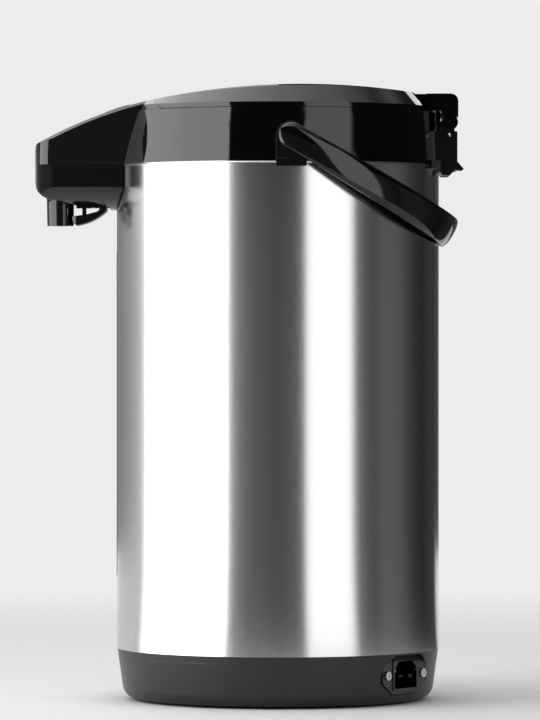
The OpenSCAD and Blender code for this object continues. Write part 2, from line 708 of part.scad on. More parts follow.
cover_top = foot_h + wall;
motor_z = cover_top + 3;
motor_h = 28;
pump_z = motor_z + motor_h;
pump_h = 16;
pump_r = 21;
chamber_r = 15;
shaft_r = 1.5;
nipple_r = 6;
pot_under = pot_floor - pot_t;
module pump_motor() color([0.6, 0.6, 0.62]) difference() {
    translate([pump_x, 0, motor_z]) cylinder(r = 16, h = motor_h);
    translate([pump_x, 0, pump_z - 12]) cylinder(r = shaft_r + pin_gap, h = 20);
}
module pump_housing() color([0.9, 0.9, 0.88]) difference() {
    union() {
        translate([pump_x, 0, pump_z]) cylinder(r = pump_r, h = pump_h);
        translate([pump_x, 0, pump_z]) cylinder(r = nipple_r, h = pump_h + 5);
        tube_along(pump_x - 32, pump_x - pump_r + 2, pump_out_z, spigot_r - 3, spigot_r - 1.2);
    }
    translate([pump_x, 0, pump_z + 3]) cylinder(r = chamber_r, h = pump_h - 6);
    translate([pump_x, 0, pump_z - 1]) cylinder(r = shaft_r + 0.4, h = 6);
    translate([pump_x, 0, pump_z + 4]) cylinder(r = nipple_r - 1.5, h = pump_h + 4);
    translate([pump_x - 34, 0, pump_out_z]) rotate([0, 90, 0]) cylinder(r = spigot_r - 3, h = 22);
}
// Vaned wheel on its shaft
module impeller() color([0.85, 0.85, 0.5]) translate([pump_x, 0, pump_z]) {
    translate([0, 0, -9]) cylinder(r = shaft_r, h = 15);
    translate([0, 0, 3.8]) cylinder(r = chamber_r - 1.2, h = 1.4);
    translate([0, 0, 3.8]) cylinder(r = 4, h = 4);
    for (a = [0 : 60 : 300]) rotate(a) translate([3, -0.7, 4.5]) cube([chamber_r - 5, 1.4, 5]);
}
module suction_tube() color(silicone) tube_up(pump_x, nipple_r, nipple_r + 2, pump_z + pump_h, pot_under);

// ---------- Inner pot ----------

flange_r = pot_r + pot_flange;
flange_z = deck_under - 3;
function pot_outline(i) = rounded([
        [0, pot_floor - i], [pot_r + i, pot_floor - i], [pot_r + i, flange_z], [0, flange_z]],
    [0, 14 + i, 0, 0]);
module inner_pot() color(steel) difference() {
    union() {
        rotate_extrude() difference() {
            polygon(pot_outline(pot_t));
            polygon(pot_outline(0));
        }
        ring(pot_r, flange_r, flange_z - pot_t, flange_z);
        translate([pump_x, 0, pump_z + pump_h + 6]) cylinder(r = nipple_r, h = pot_under - pump_z - pump_h - 6);
    }
    translate([pump_x, 0, pump_z + pump_h]) cylinder(r = nipple_r - 1, h = 20);
}
module pot_seal() color(silicone) ring(pot_r + 0.5, flange_r - 1, flange_z, deck_under);
module clamp_ring() color([0.5, 0.5, 0.52]) difference() {
    ring(pot_r + pot_t + 0.3, clamp_boss_r + 5, flange_z - pot_t - 2.4, flange_z - pot_t);
    for (a = [45 : 90 : 315]) rotate(a) translate([clamp_boss_r, 0, 0]) cylinder(r = 1.8, h = 600);
    translate([riser_x, 0, 300]) cylinder(r = tube_r + 1, h = 300);
}
module screw(r, h, head_r, head_h) {
    cylinder(r = r, h = h);
    translate([0, 0, -head_h]) difference() {
        cylinder(r = head_r, h = head_h);
        for (a = [0, 90]) rotate(a) translate([-head_r * 0.6, -0.4, -0.1]) cube([head_r * 1.2, 0.8, head_h * 0.6]);
    }
}
module clamp_screws() color(steel) for (a = [45 : 90 : 315]) rotate(a)
    translate([clamp_boss_r, 0, flange_z - pot_t - 2.4]) screw(1.6, 7, 3.4, 2);
module heater_band() color([0.55, 0.5, 0.42]) rotate(182) rotate_extrude(angle = 356)
    polygon(box_pts(pot_r + pot_t, pot_floor + 14, pot_r + pot_t + 3.5, pot_floor + 42));
module thermostat() color([0.3, 0.3, 0.3]) {
    translate([0, 0, pot_under - 8]) cylinder(r = 9, h = 8);
    translate([0, 0, pot_under - 1.5]) cylinder(r = 13, h = 1.5);
}

// ---------- Jacket and level window ----------

level_z0 = base_h + 52;
level_z1 = jacket_top - 62;
level_w = 16;
module outer_jacket() color(steel) difference() {
    rotate_extrude() {
        polygon(box_pts(jacket_in_r, base_h, body_r, jacket_top));
        translate([body_r - 0.1, jacket_top - 0.8]) circle(0.6, $fn = 24);
    }
    translate([-body_r - 2, -14, tube_z - 9]) cube([12, 28, 18]);
    translate([-body_r - 2, -level_w / 2 + 3, level_z0]) cube([12, level_w - 6, level_z1 - level_z0]);
}
level_proud = 0.2;
module level_bezel() color(black_gloss) difference() {
    intersection() {
        ring(body_r, body_r + level_proud, level_z0 - 6, level_z1 + 6);
        rotate([0, -90, 0]) linear_extrude(200) polygon(rounded(
            box_pts(level_z0 - 5, -level_w / 2, level_z1 + 5, level_w / 2), [7, 7, 7, 7]));
    }
    translate([-body_r - 2, -level_w / 2 + 3, level_z0]) cube([12, level_w - 6, level_z1 - level_z0]);
}
module level_window() color([0.7, 0.85, 0.9, 0.5]) intersection() {
    ring(jacket_in_r - 1.4, body_r + 0.2, level_z0, level_z1);
    translate([-body_r - 2, -level_w / 2 + 3, level_z0]) cube([14, level_w - 6, level_z1 - level_z0]);
}

// ---------- Base ----------

base_top_r = body_r - 0.3;
base_foot_r = base_top_r - base_taper;
function base_outline(i) = rounded([
        [0, foot_h + i], [base_foot_r - i, foot_h + i], [base_top_r - i, base_h + i], [0, base_h + i]],
    [0, base_corner_r - i, 0, 0]);
ledge_r = cover_r - 9;
cover_screw_r = cover_r - 4.5;
screw_turns = [0 : 90 : 270];
module base_shell() color(black_matt) difference() {
    union() {
        rotate_extrude() {
            difference() {
                polygon(base_outline(0));
                polygon(base_outline(wall));
                polygon(box_pts(0, 0, cover_r + 0.2, cover_top));
            }
            // Ledge over the bottom cover
            polygon(box_pts(ledge_r, cover_top, base_foot_r - wall - 1, cover_top + wall));
            // Lip that centres the jacket
            polygon(box_pts(jacket_in_r - spigot_gap - 2.2, base_h - 5, jacket_in_r - spigot_gap, base_h + 6));
        }
        for (a = screw_turns) rotate(a) translate([cover_screw_r, 0, cover_top]) cylinder(r = 4, h = 9);
        // Pad behind the inlet's flange
        intersection() {
            inlet_frame() translate([-inlet_len / 2 - 3, -inlet_h / 2 - 2, -8])
                cube([inlet_len + 6, inlet_h + 4, 8 - inlet_flange_t]);
            rotate_extrude() polygon(base_outline(0));
        }
    }
    for (a = screw_turns) rotate(a) translate([cover_screw_r, 0, -1]) cylinder(r = 1.6, h = 11);
    inlet_frame() {
        translate([0, 0, -inlet_flange_t]) linear_extrude(20) polygon(inlet_outline(0.4));
        linear_extrude(60, center = true) polygon(box_pts(-14.2, -10.6, 14.2, 10.6));
        for (s = [-1, 1]) translate([s * inlet_pitch / 2, 0, -12]) cylinder(r = 1.5, h = 20, $fn = 32);
    }
}
module bottom_cover() color(black_matt) difference() {
    union() {
        ring(0, cover_r, foot_h, cover_top);
        translate([pump_x, 0, 0]) ring(10, 17.5, cover_top, motor_z);
        translate([pump_x, 0, 0]) ring(16 + 0.2, 17.5, motor_z - 0.1, motor_z + 4);
        for (p = board_pegs) translate([p.x, p.y, cover_top]) cylinder(r = 3, h = power_z - cover_top);
    }
    ring(foot_r - 4, foot_r + 4, 0, foot_h + 1.2);
    for (a = screw_turns) rotate(a) translate([cover_screw_r, 0, 0]) {
        cylinder(r = 1.8, h = 20);
        cylinder(r = 3.4, h = foot_h + 1.2);
    }
    for (i = [-3 : 3]) translate([20, i * 7 - 1.2, 0]) cube([26, 2.4, 2 * cover_top]);
}
module foot_ring() color(rubber) ring(foot_r - 4, foot_r + 4, 0, foot_h + 1.2);
module bottom_screws() color(steel) for (a = screw_turns) rotate(a)
    translate([cover_screw_r, 0, foot_h + 1.2]) screw(1.6, 7.6, 3.2, 1.2);

power_z = 12;
board_pegs = [[4, -28], [4, 28], [58, -20], [58, 28]];
module power_board() color(board_green) {
    translate([-1, -33, power_z]) cube([64, 66, 1.6]);
    translate([8, -20, power_z + 1]) cube([24, 28, 21]);
    translate([38, -12, power_z + 1]) cube([16, 12, 17]);
    translate([38, 8, power_z + 1]) cube([19, 16, 16]);
    for (y = [14, 25]) translate([14, y, power_z + 1]) cylinder(r = 4.5, h = 15, $fn = 32);
}

// ---------- Mains inlet ----------

inlet_len = 50;
inlet_h = 25;
inlet_flange_t = 2.4;
socket_w = 25;
socket_h = 17.5;
socket_depth = 17;
// Local frame of the inlet: X along the flange, Y up, Z outwards
module inlet_frame() rotate(-inlet_turn) translate([inlet_face, 0, inlet_z]) rotate([90, 0, 90]) children();
function inlet_outline(grow) = rounded([
        [-14 - grow, -inlet_h / 2 - grow], [14 + grow, -inlet_h / 2 - grow], [inlet_len / 2 + grow, -5],
        [inlet_len / 2 + grow, 5], [14 + grow, inlet_h / 2 + grow], [-14 - grow, inlet_h / 2 + grow],
        [-inlet_len / 2 - grow, 5], [-inlet_len / 2 - grow, -5]],
    [3, 3, 3, 3, 3, 3, 3, 3], 3);
module inlet_socket() polygon([
    [-socket_w / 2, -socket_h / 2], [socket_w / 2, -socket_h / 2], [socket_w / 2, socket_h / 2 - 5],
    [socket_w / 2 - 5, socket_h / 2], [-socket_w / 2 + 5, socket_h / 2], [-socket_w / 2, socket_h / 2 - 5]]);
module power_inlet() color(black_gloss) inlet_frame() difference() {
    union() {
        translate([0, 0, -inlet_flange_t]) linear_extrude(inlet_flange_t) polygon(inlet_outline(0));
        translate([0, 0, -socket_depth - 3]) linear_extrude(socket_depth + 1)
            polygon(box_pts(-14, -10.4, 14, 10.4));
        linear_extrude(0.8) polygon(rounded(box_pts(-14, -10.4, 14, 10.4), [2, 2, 2, 2], 3));
    }
    translate([0, 0, -socket_depth]) linear_extrude(60) inlet_socket();
    for (s = [-1, 1]) translate([s * inlet_pitch / 2, 0, -10]) cylinder(r = 1.7, h = 20, $fn = 32);
    for (p = pin_places) translate([p.x - 2, p.y - 1, -30]) cube([4, 2, 20]);
}
pin_places = [[-7, -2], [7, -2], [0, 2]];
module inlet_pins() color([0.9, 0.9, 0.85]) inlet_frame()
    for (p = pin_places) translate([p.x - 2, p.y - 1, -socket_depth - 8]) cube([4, 2, 17]);
module inlet_screws() color(steel) inlet_frame() for (s = [-1, 1])
    translate([s * inlet_pitch / 2, 0, 0]) mirror([0, 0, 1]) screw(1.5, 9, 2.9, 1.4);

// ---------- Handle ----------

bracket_half = 9.8;
arm_gap = 0.4;
bracket_y = handle_half_w - handle_t / 2 - arm_gap;
bracket_foot = jacket_top - 3.6;
// Plate with a round top that carries the handle's pivot
module handle_bracket() difference() {
    union() {
        between(95, bracket_y - 0.8) polygon(concat(
            arc([pivot_x, pivot_z - 0.5], bracket_half, 0, 180, 16),
            [[pivot_x - bracket_half, bracket_foot], [pivot_x + bracket_half, bracket_foot]]));
        between(95, bracket_y) polygon(box_pts(
            pivot_x - bracket_half, bracket_foot, pivot_x + bracket_half, bracket_foot + 5));
    }
    rotate_extrude() polygon([
        [0, jacket_top], [collar_foot_r, jacket_top], [collar_top_r, collar_top], [0, collar_top]]);
    translate([0, 0, bracket_foot - 5]) cylinder(r = body_r + 0.55, h = jacket_top - bracket_foot + 5);
    cross_pin(pivot_x, pivot_z, pivot_d / 2, 90, 130);
}
module handle_bracket_left() color(black_matt) mirror([0, 1, 0]) handle_bracket();
module handle_bracket_right() color(black_matt) handle_bracket();
module handle_pivot_pins() color(steel) mirrored() {
    cross_pin(pivot_x, pivot_z, pivot_d / 2, collar_top_r - 4, handle_half_w + 1.2);
    cross_pin(pivot_x, pivot_z, pivot_d / 2 + 2, collar_top_r - 5.4, collar_top_r - 3.4);
}

bow_start = 30;
bow_power = 2.6;
function signed_pow(v, p) = sign(v) * pow(abs(v), p);
// Stations of the handle seen from above: distance from the pivot, side, height of the section
bow_steps = 26;
function arm_section(u) = let (t = min(1, max(0, u / handle_reach))) arm_h + (grip_h - arm_h) * t;
end_steps = [0.97, 0.9, 0.75, 0.5, 0.2];
arm_end = [for (k = end_steps) [-k * arm_h / 2, handle_half_w, arm_h * sqrt(1 - k * k)]];
arm_run = [for (u = [5, 18]) [u, handle_half_w, arm_section(u)]];
bow = [for (i = [0 : bow_steps]) let (a = 180 * i / bow_steps,
        u = bow_start + (handle_reach - bow_start) * pow(sin(a), 2 / bow_power))
    [u, handle_half_w * signed_pow(cos(a), 2 / bow_power), arm_section(u)]];
function flipped(list) = [for (i = [len(list) - 1 : -1 : 0]) [list[i].x, -list[i].y, list[i].z]];
stations = concat(arm_end, arm_run, bow, flipped(arm_run), flipped(arm_end));
section_n = 14;
function tangent_at(i) = let (a = stations[max(0, i - 1)], b = stations[min(len(stations) - 1, i + 1)])
    unit([b.x - a.x, b.y - a.y]);
// One ring of points round station i, turned into the handle's rest position
function section_ring(i) = let (s = stations[i], t = tangent_at(i), n = [t.y, -t.x])
    [for (j = [0 : section_n - 1]) let (a = 360 * j / section_n,
            e = signed_pow(cos(a), 0.75) * handle_t / 2, v = signed_pow(sin(a), 0.75) * s.z / 2,
            u = s.x + n.x * e, y = s.y + n.y * e)
        [pivot_x + u * cos(handle_rest) + v * sin(handle_rest), y,
         pivot_z - u * sin(handle_rest) + v * cos(handle_rest)]];
module swept_bow() {
    rings = [for (i = [0 : len(stations) - 1]) each section_ring(i)];
    last = (len(stations) - 1) * section_n;
    polyhedron(rings, concat(
        [[for (j = [0 : section_n - 1]) j]],
        [[for (j = [section_n - 1 : -1 : 0]) last + j]],
        [for (i = [0 : len(stations) - 2], j = [0 : section_n - 1])
            let (a = i * section_n + j, b = i * section_n + (j + 1) % section_n)
            [a, a + section_n, b + section_n, b]]), convexity = 6);
}
module handle() color(black_gloss) difference() {
    swept_bow();
    mirrored() cross_pin(pivot_x, pivot_z, pivot_d / 2 + pin_gap, 100, handle_half_w + 1.5);
}

// ---------- Hinge bracket and release lever ----------

bracket_top = hinge_z - block_back - 0.6;
bracket_low = jacket_top - 3.5;
release_x = hinge_x - 0.3;
release_z = hinge_z - 8.6;
release_pin_r = 1.2;
release_half = 6.5;
module hinge_bracket() color(black_matt) difference() {
    union() {
        across(hinge_w) polygon(rounded([
            [95, bracket_low], [hinge_x - 7, bracket_low], [hinge_x - 5, bracket_low - 3.5],
            [hinge_x, bracket_low - 3.5], [hinge_x + 3, bracket_low], [block_x1 - 0.6, bracket_low],
            [block_x1 - 0.6, bracket_top], [95, bracket_top]],
            [0, 0, 0, 0, 0, 0, 0.6, 0], 3));
        // Foot that hugs the jacket
        rotate_extrude(angle = 46, start = -23)
            polygon(box_pts(body_r - 3, bracket_low + 0.5, body_r + 3, bracket_low + 6));
        mirrored() {
            cross_pin(hinge_x, hinge_z, knuckle_r, knuckle_in - 7, knuckle_in - 0.3);
            between(knuckle_in - 7, knuckle_in - 0.3)
                polygon(box_pts(hinge_x - knuckle_r, bracket_top - 2, hinge_x + knuckle_r - 2, hinge_z));
            // Web up the collar to the lid's arm
            between(knuckle_in - 7, knuckle_in - 0.3)
                polygon(box_pts(95, bracket_top - 2, collar_foot_r + 0.4, lid_foot + 0.3));
        }
    }
    rotate_extrude() polygon([[0, 0], [body_r + 0.6, 0], [body_r + 0.6, jacket_top],
        [collar_foot_r, jacket_top], [collar_top_r, collar_top], [collar_top_r, crown_z], [0, crown_z]]);
    cross_pin(hinge_x, hinge_z, hinge_pin_d / 2, -hinge_w, hinge_w);
    cross_pin(release_x, release_z, release_pin_r, -hinge_w, hinge_w);
    // Room for the lid's knuckles and for the release lever
    mirrored() cross_pin(hinge_x, hinge_z, knuckle_r + 0.5, knuckle_in - 0.3, hinge_w);
    across(2 * release_half + 1.2) polygon([
        [hinge_x - 5, bracket_low - 5], [block_x1 + 5, bracket_low - 5], [block_x1 + 5, release_z - 4],
        [hinge_x + 5, release_z + 4.8], [hinge_x - 5, release_z + 4.8]]);
}
module hinge_pin() color(steel)
    cross_pin(hinge_x, hinge_z, hinge_pin_d / 2, -hinge_w / 2 + pin_cap + 0.1, hinge_w / 2 - 0.5);
module release_pin() color(steel)
    cross_pin(release_x, release_z, release_pin_r, -hinge_w / 2 - 0.3, hinge_w / 2 + 0.3);
tab_reach = 4.3;
module release_lever() color(black_matt) difference() {
    union() {
        cross_pin(release_x, release_z, 3.6, -release_half, release_half);
        across(2 * release_half) polygon([
            [release_x, release_z - 3], [release_x + 3, release_z - 3], [block_x1 - 0.6, bracket_low + 8],
            [block_x1 - 0.6, bracket_low + 6.9], [block_x1 + tab_reach, bracket_low + 1.3],
            [block_x1 + tab_reach - 1, bracket_low + 0.3], [release_x + 1.5, bracket_low + 0.3],
            [release_x, bracket_low + 8]]);
    }
    cross_pin(release_x, release_z, release_pin_r + pin_gap, -hinge_w, hinge_w);
}

// ---------- Output ----------

base_shell();
bottom_cover();
bottom_screws();
foot_ring();
outer_jacket();
top_housing();
spout_lower_housing();
control_panel();
lamp_lenses();
dispense_button();
reboil_button();
unlock_button();
control_board();
nozzle();
outlet_tube();
riser_tube();
cup_lever();
lever_pin();
lever_switch();
inner_pot();
pot_seal();
clamp_ring();
clamp_screws();
heater_band();
thermostat();
suction_tube();
pump_housing();
impeller();
pump_motor();
power_board();
power_inlet();
inlet_pins();
inlet_screws();
level_bezel();
level_window();
handle();
handle_bracket_left();
handle_bracket_right();
handle_pivot_pins();
hinge_bracket();
hinge_pin();
release_lever();
release_pin();
lid_shell();
lid_inner_plate();
lid_gasket();
steam_vent();
lid_latch();
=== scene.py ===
"""Finishes, softened mouldings and a studio for the electric thermo pot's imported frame."""

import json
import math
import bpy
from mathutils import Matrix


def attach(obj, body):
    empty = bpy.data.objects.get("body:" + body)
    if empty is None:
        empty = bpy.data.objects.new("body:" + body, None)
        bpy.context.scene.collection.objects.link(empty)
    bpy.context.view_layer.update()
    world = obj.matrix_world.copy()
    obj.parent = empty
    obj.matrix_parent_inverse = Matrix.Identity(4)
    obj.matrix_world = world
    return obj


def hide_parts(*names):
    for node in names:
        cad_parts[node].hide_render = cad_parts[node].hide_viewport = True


bl_info = {
    "name": "Thermo Pot Finishes",
    "version": (1, 0, 0),
    "blender": (4, 5, 0),
    "location": "3D View > Sidebar > Thermo Pot",
    "description": "Dresses the thermo pot's frame with mouldings, finishes and a plain studio",
    "category": "Object",
}

import bmesh
import bpy
from bpy.props import FloatProperty, FloatVectorProperty, IntProperty, PointerProperty
from mathutils import Vector

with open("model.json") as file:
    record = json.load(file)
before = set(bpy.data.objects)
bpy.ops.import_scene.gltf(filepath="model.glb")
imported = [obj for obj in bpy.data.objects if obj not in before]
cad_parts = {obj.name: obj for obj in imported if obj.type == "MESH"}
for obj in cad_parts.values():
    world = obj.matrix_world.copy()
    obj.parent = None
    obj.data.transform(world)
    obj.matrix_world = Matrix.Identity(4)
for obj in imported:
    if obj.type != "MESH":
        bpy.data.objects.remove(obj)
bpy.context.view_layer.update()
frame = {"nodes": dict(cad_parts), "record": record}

# The carrying handle's pivot in the frame, in metres
PIVOT = Vector((0.0085, 0.0, 0.368))


# ---------- Settings ----------


class FinishSettings(bpy.types.PropertyGroup):
    gloss_black: FloatVectorProperty(
        name="Gloss black", description="Colour of the polished head, lid and handle",
        subtype="COLOR", size=3, default=(0.0016, 0.0016, 0.0017), min=0, max=1,
    )
    satin_black: FloatVectorProperty(
        name="Satin black", description="Colour of the base and of the brackets",
        subtype="COLOR", size=3, default=(0.006, 0.006, 0.0063), min=0, max=1,
    )
    sheet_steel: FloatVectorProperty(
        name="Sheet steel", description="Colour of the jacket's steel",
        subtype="COLOR", size=3, default=(0.62, 0.62, 0.625), min=0, max=1,
    )
    brush_depth: FloatProperty(
        name="Brush depth", description="Depth of the jacket's brushed lines",
        subtype="DISTANCE", unit="LENGTH", default=0.000012, min=0, max=0.001, precision=6,
    )
    ripple_depth: FloatProperty(
        name="Moulding ripple", description="Depth of the slow ripple in the polished mouldings",
        subtype="DISTANCE", unit="LENGTH", default=0.00002, min=0, max=0.001, precision=6,
    )


class MouldingSettings(bpy.types.PropertyGroup):
    edge_round: FloatProperty(
        name="Edge rounding", description="Radius on the mouldings' outer edges",
        subtype="DISTANCE", unit="LENGTH", default=0.0004, min=0.0001, max=0.002, precision=5,
    )
    smooth_angle: FloatProperty(
        name="Smooth angle",
        description="Faces that meet at less than this angle shade as one surface",
        subtype="ANGLE", default=math.radians(24), min=0, max=math.pi,
    )


class HandleSettings(bpy.types.PropertyGroup):
    reach: FloatProperty(
        name="Reach", description="Distance of the grip's centre from the pivot",
        subtype="DISTANCE", unit="LENGTH", default=0.1205, min=0.1, max=0.14, precision=4,
    )
    half_width: FloatProperty(
        name="Half width", description="Half the distance between the arms' centres",
        subtype="DISTANCE", unit="LENGTH", default=0.116, min=0.1, max=0.13, precision=4,
    )
    thickness: FloatProperty(
        name="Thickness", description="Thickness of the arms and grip",
        subtype="DISTANCE", unit="LENGTH", default=0.0064, min=0.004, max=0.01, precision=4,
    )
    arm_height: FloatProperty(
        name="Arm height", description="Height of the arm's section at the pivot",
        subtype="DISTANCE", unit="LENGTH", default=0.0166, min=0.01, max=0.02, precision=4,
    )
    grip_height: FloatProperty(
        name="Grip height", description="Height of the grip's section at the back",
        subtype="DISTANCE", unit="LENGTH", default=0.0204, min=0.01, max=0.03, precision=4,
    )
    rest_angle: FloatProperty(
        name="Rest angle", description="Angle of the handle below level at rest",
        subtype="ANGLE", default=math.radians(30), min=0, max=math.pi / 2,
    )
    stations: IntProperty(
        name="Stations", description="Sections along the handle", default=96, min=24, max=200,
    )


class BeadSettings(bpy.types.PropertyGroup):
    pot_radius: FloatProperty(
        name="Pot radius", description="Inside radius of the pot at the beads",
        subtype="DISTANCE", unit="LENGTH", default=0.0801, min=0.07, max=0.09, precision=4,
    )
    sweep: FloatProperty(
        name="Sweep", description="Angle that each bead takes round the pot",
        subtype="ANGLE", default=math.radians(22), min=0.05, max=1,
    )
    wire: FloatProperty(
        name="Bead radius", description="Radius of a bead's round section",
        subtype="DISTANCE", unit="LENGTH", default=0.0007, min=0.0003, max=0.002, precision=5,
    )
    count: IntProperty(name="Count", description="Number of beads", default=6, min=1, max=12)
    spacing: FloatProperty(
        name="Spacing", description="Height from bead to bead",
        subtype="DISTANCE", unit="LENGTH", default=0.045, min=0.01, max=0.1, precision=4,
    )
    foot: FloatProperty(
        name="Lowest bead", description="Height of the lowest bead above the floor",
        subtype="DISTANCE", unit="LENGTH", default=0.11, min=0.08, max=0.2, precision=4,
    )


class StudioSettings(bpy.types.PropertyGroup):
    camera_distance: FloatProperty(
        name="Camera distance", description="Distance of the camera from the pot's axis",
        subtype="DISTANCE", unit="LENGTH", default=3.3, min=1, max=10,
    )
    camera_height: FloatProperty(
        name="Camera height", description="Height of the camera above the floor",
        subtype="DISTANCE", unit="LENGTH", default=0.2448, min=0, max=2,
    )
    lens: FloatProperty(
        name="Lens", description="Focal length",
        subtype="DISTANCE_CAMERA", default=249.65, min=20, max=400,
    )
    background: FloatProperty(
        name="Background", description="Brightness of the plain background",
        default=0.84, min=0, max=1,
    )
    softbox: FloatProperty(
        name="Softbox", description="Brightness of the large softbox as the gloss shows it",
        default=4.2, min=0, max=10,
    )
    # Brightness of the painted grey reflection on the spout's nose
    flag: FloatProperty(
        name="Painted nose reflection glow", description="Brightness of the grey card by the spout's nose",
        default=0.32, min=0, max=2,
    )
    key_power: FloatProperty(
        name="Key power", description="Power of the key light",
        subtype="POWER", default=16, min=0, max=200,
    )


# ---------- Meshes ----------

# The frame's loose corners closer than this are one corner, in metres
WELD_DISTANCE = 1e-6
# Faces of the frame that meet at less than this are one flat face
FLAT_ANGLE = math.radians(0.5)
# Edges sharper than this get a round
ROUND_ANGLE = math.radians(32)


def mesh_object(name, vertices, faces):
    mesh = bpy.data.meshes.new(name)
    mesh.from_pydata(vertices, [], faces)
    mesh.validate()
    piece = bpy.data.objects.new(name, mesh)
    bpy.context.scene.collection.objects.link(piece)
    return piece


def finished(piece):
    """Applies a piece's modifiers, so that it is a plain mesh."""
    bpy.context.view_layer.update()
    evaluated = piece.evaluated_get(bpy.context.evaluated_depsgraph_get())
    piece.data = bpy.data.meshes.new_from_object(evaluated)
    piece.modifiers.clear()
    return piece


def merged_copy(node, name):
    """A copy of a frame node with its loose triangles joined and its flat faces made whole."""
    solid = bmesh.new()
    solid.from_mesh(frame["nodes"][node].data)
    bmesh.ops.remove_doubles(solid, verts=solid.verts, dist=WELD_DISTANCE)
    bmesh.ops.dissolve_limit(
        solid, angle_limit=FLAT_ANGLE, verts=solid.verts, edges=solid.edges,
        use_dissolve_boundaries=False,
    )
    solid.verts.index_update()
    corners = [v.co.copy() for v in solid.verts]
    faces = [[v.index for v in f.verts] for f in solid.faces]
    solid.free()
    return mesh_object(name, corners, faces)


def softened(node, name, body, settings, edge=None):
    """A frame node's moulding with smooth curves and small rounds on its sharp edges."""
    piece = merged_copy(node, name)
    piece.data.shade_smooth()
    piece.data.set_sharp_from_angle(angle=settings.smooth_angle)
    rounds = piece.modifiers.new("Edge rounds", "BEVEL")
    rounds.width = edge or settings.edge_round
    rounds.segments = 2
    rounds.limit_method = "ANGLE"
    rounds.angle_limit = ROUND_ANGLE
    rounds.use_clamp_overlap = True
    rounds.miter_outer = "MITER_ARC"
    rounds.harden_normals = False
    weighted = piece.modifiers.new("Face weights", "WEIGHTED_NORMAL")
    weighted.keep_sharp = True
    finished(piece)
    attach(piece, body)
    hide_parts(node)
    return piece


# ---------- Shader nodes ----------

WHITE = (1, 1, 1, 1)
# Sockets of a Mix node by number, for each kind of value: its two ends and its result
MIX_FACTOR = 0
MIX_ENDS = {"FLOAT": (2, 3), "RGBA": (6, 7)}
MIX_RESULT = {"FLOAT": 0, "RGBA": 2}


def feed(tree, socket, value):
    """Links an output to a socket, or sets the socket to a plain value."""
    if isinstance(value, bpy.types.NodeSocket):
        tree.links.new(value, socket)
    else:
        socket.default_value = value


def mixed(tree, kind, factor, first, second):
    """Two numbers or two colours, mixed by a factor."""
    mix = tree.nodes.new("ShaderNodeMix")
    mix.data_type = kind
    for number, value in zip((MIX_FACTOR, *MIX_ENDS[kind]), (factor, first, second)):
        feed(tree, mix.inputs[number], value)
    return mix.outputs[MIX_RESULT[kind]]


def mixed_shaders(tree, factor, first, second):
    mix = tree.nodes.new("ShaderNodeMixShader")
    for socket, value in zip(mix.inputs, (factor, first, second)):
        tree.links.new(value, socket)
    return mix.outputs[0]


def calculated(tree, operation, *values):
    """The result of a Math node on sockets or plain numbers."""
    step = tree.nodes.new("ShaderNodeMath")
    step.operation = operation
    for socket, value in zip(step.inputs, values):
        feed(tree, socket, value)
    return step.outputs[0]


def mapped(tree, value, interpolation="LINEAR", **ends):
    """A value through a Map Range node; an end that isn't given stays at 0 or 1."""
    ranged = tree.nodes.new("ShaderNodeMapRange")
    ranged.interpolation_type = interpolation
    tree.links.new(value, ranged.inputs["Value"])
    for name, end in ends.items():
        feed(tree, ranged.inputs[name.replace("_", " ")], end)
    return ranged.outputs["Result"]


def emission(tree, colour, strength):
    glow = tree.nodes.new("ShaderNodeEmission")
    feed(tree, glow.inputs["Color"], colour)
    glow.inputs["Strength"].default_value = strength
    return glow.outputs[0]


def surface_of(tree, shader):
    """Makes a shader the material's surface."""
    tree.links.new(shader, tree.nodes["Material Output"].inputs["Surface"])


def group_sockets(tree, inputs, outputs):
    for name, kind, default in inputs:
        socket = tree.interface.new_socket(name=name, in_out="INPUT", socket_type=kind)
        if default is not None:
            socket.default_value = default
    for name, kind in outputs:
        tree.interface.new_socket(name=name, in_out="OUTPUT", socket_type=kind)
    return tree.nodes.new("NodeGroupInput"), tree.nodes.new("NodeGroupOutput")


def shared_group(name, inputs, outputs, build):
    """A shader node group that is built once and placed in each material that needs it."""
    if name in bpy.data.node_groups:
        return bpy.data.node_groups[name]
    tree = bpy.data.node_groups.new(name, "ShaderNodeTree")
    given, result = group_sockets(tree, inputs, outputs)
    build(tree, given.outputs, result.inputs)
    return tree


def placed(tree, group, vector, **values):
    """A shared group in a material, with its inputs set by name."""
    node = tree.nodes.new("ShaderNodeGroup")
    node.node_tree = group
    tree.links.new(vector, node.inputs["Vector"])
    for name, value in values.items():
        node.inputs[name.replace("_", " ")].default_value = value
    return node


# ---------- Effects that the materials share ----------

EVEN = (1, 1, 1)
# Stretches of the noise along Z, the way that smears and brushed lines run
SMEAR_STRETCH = (1, 1, 0.5)
LINE_STRETCH = (1, 1, 0.03)
# Share of the short nicks among the brushed lines
NICK_SHARE = 0.45


def scaled_noise(tree, vector, stretch, scale, detail=3.0, roughness=0.5):
    mapping = tree.nodes.new("ShaderNodeMapping")
    mapping.inputs["Scale"].default_value = stretch
    noise = tree.nodes.new("ShaderNodeTexNoise")
    noise.inputs["Detail"].default_value = detail
    noise.inputs["Roughness"].default_value = roughness
    tree.links.new(vector, mapping.inputs["Vector"])
    tree.links.new(mapping.outputs["Vector"], noise.inputs["Vector"])
    feed(tree, noise.inputs["Scale"], scale)
    return noise.outputs["Fac"]


def build_handling_marks(tree, given, result):
    """Soft smears and fine dust, as a roughness."""
    smear = scaled_noise(tree, given["Vector"], SMEAR_STRETCH, given["Scale"], 4.0, 0.6)
    roughness = mapped(tree, smear, To_Min=given["Low"], To_Max=given["High"])
    tree.links.new(roughness, result["Roughness"])


def handling_marks():
    return shared_group(
        "Handling marks",
        [("Vector", "NodeSocketVector", None), ("Scale", "NodeSocketFloat", 30.0),
         ("Low", "NodeSocketFloat", 0.03), ("High", "NodeSocketFloat", 0.08)],
        [("Roughness", "NodeSocketFloat")],
        build_handling_marks,
    )


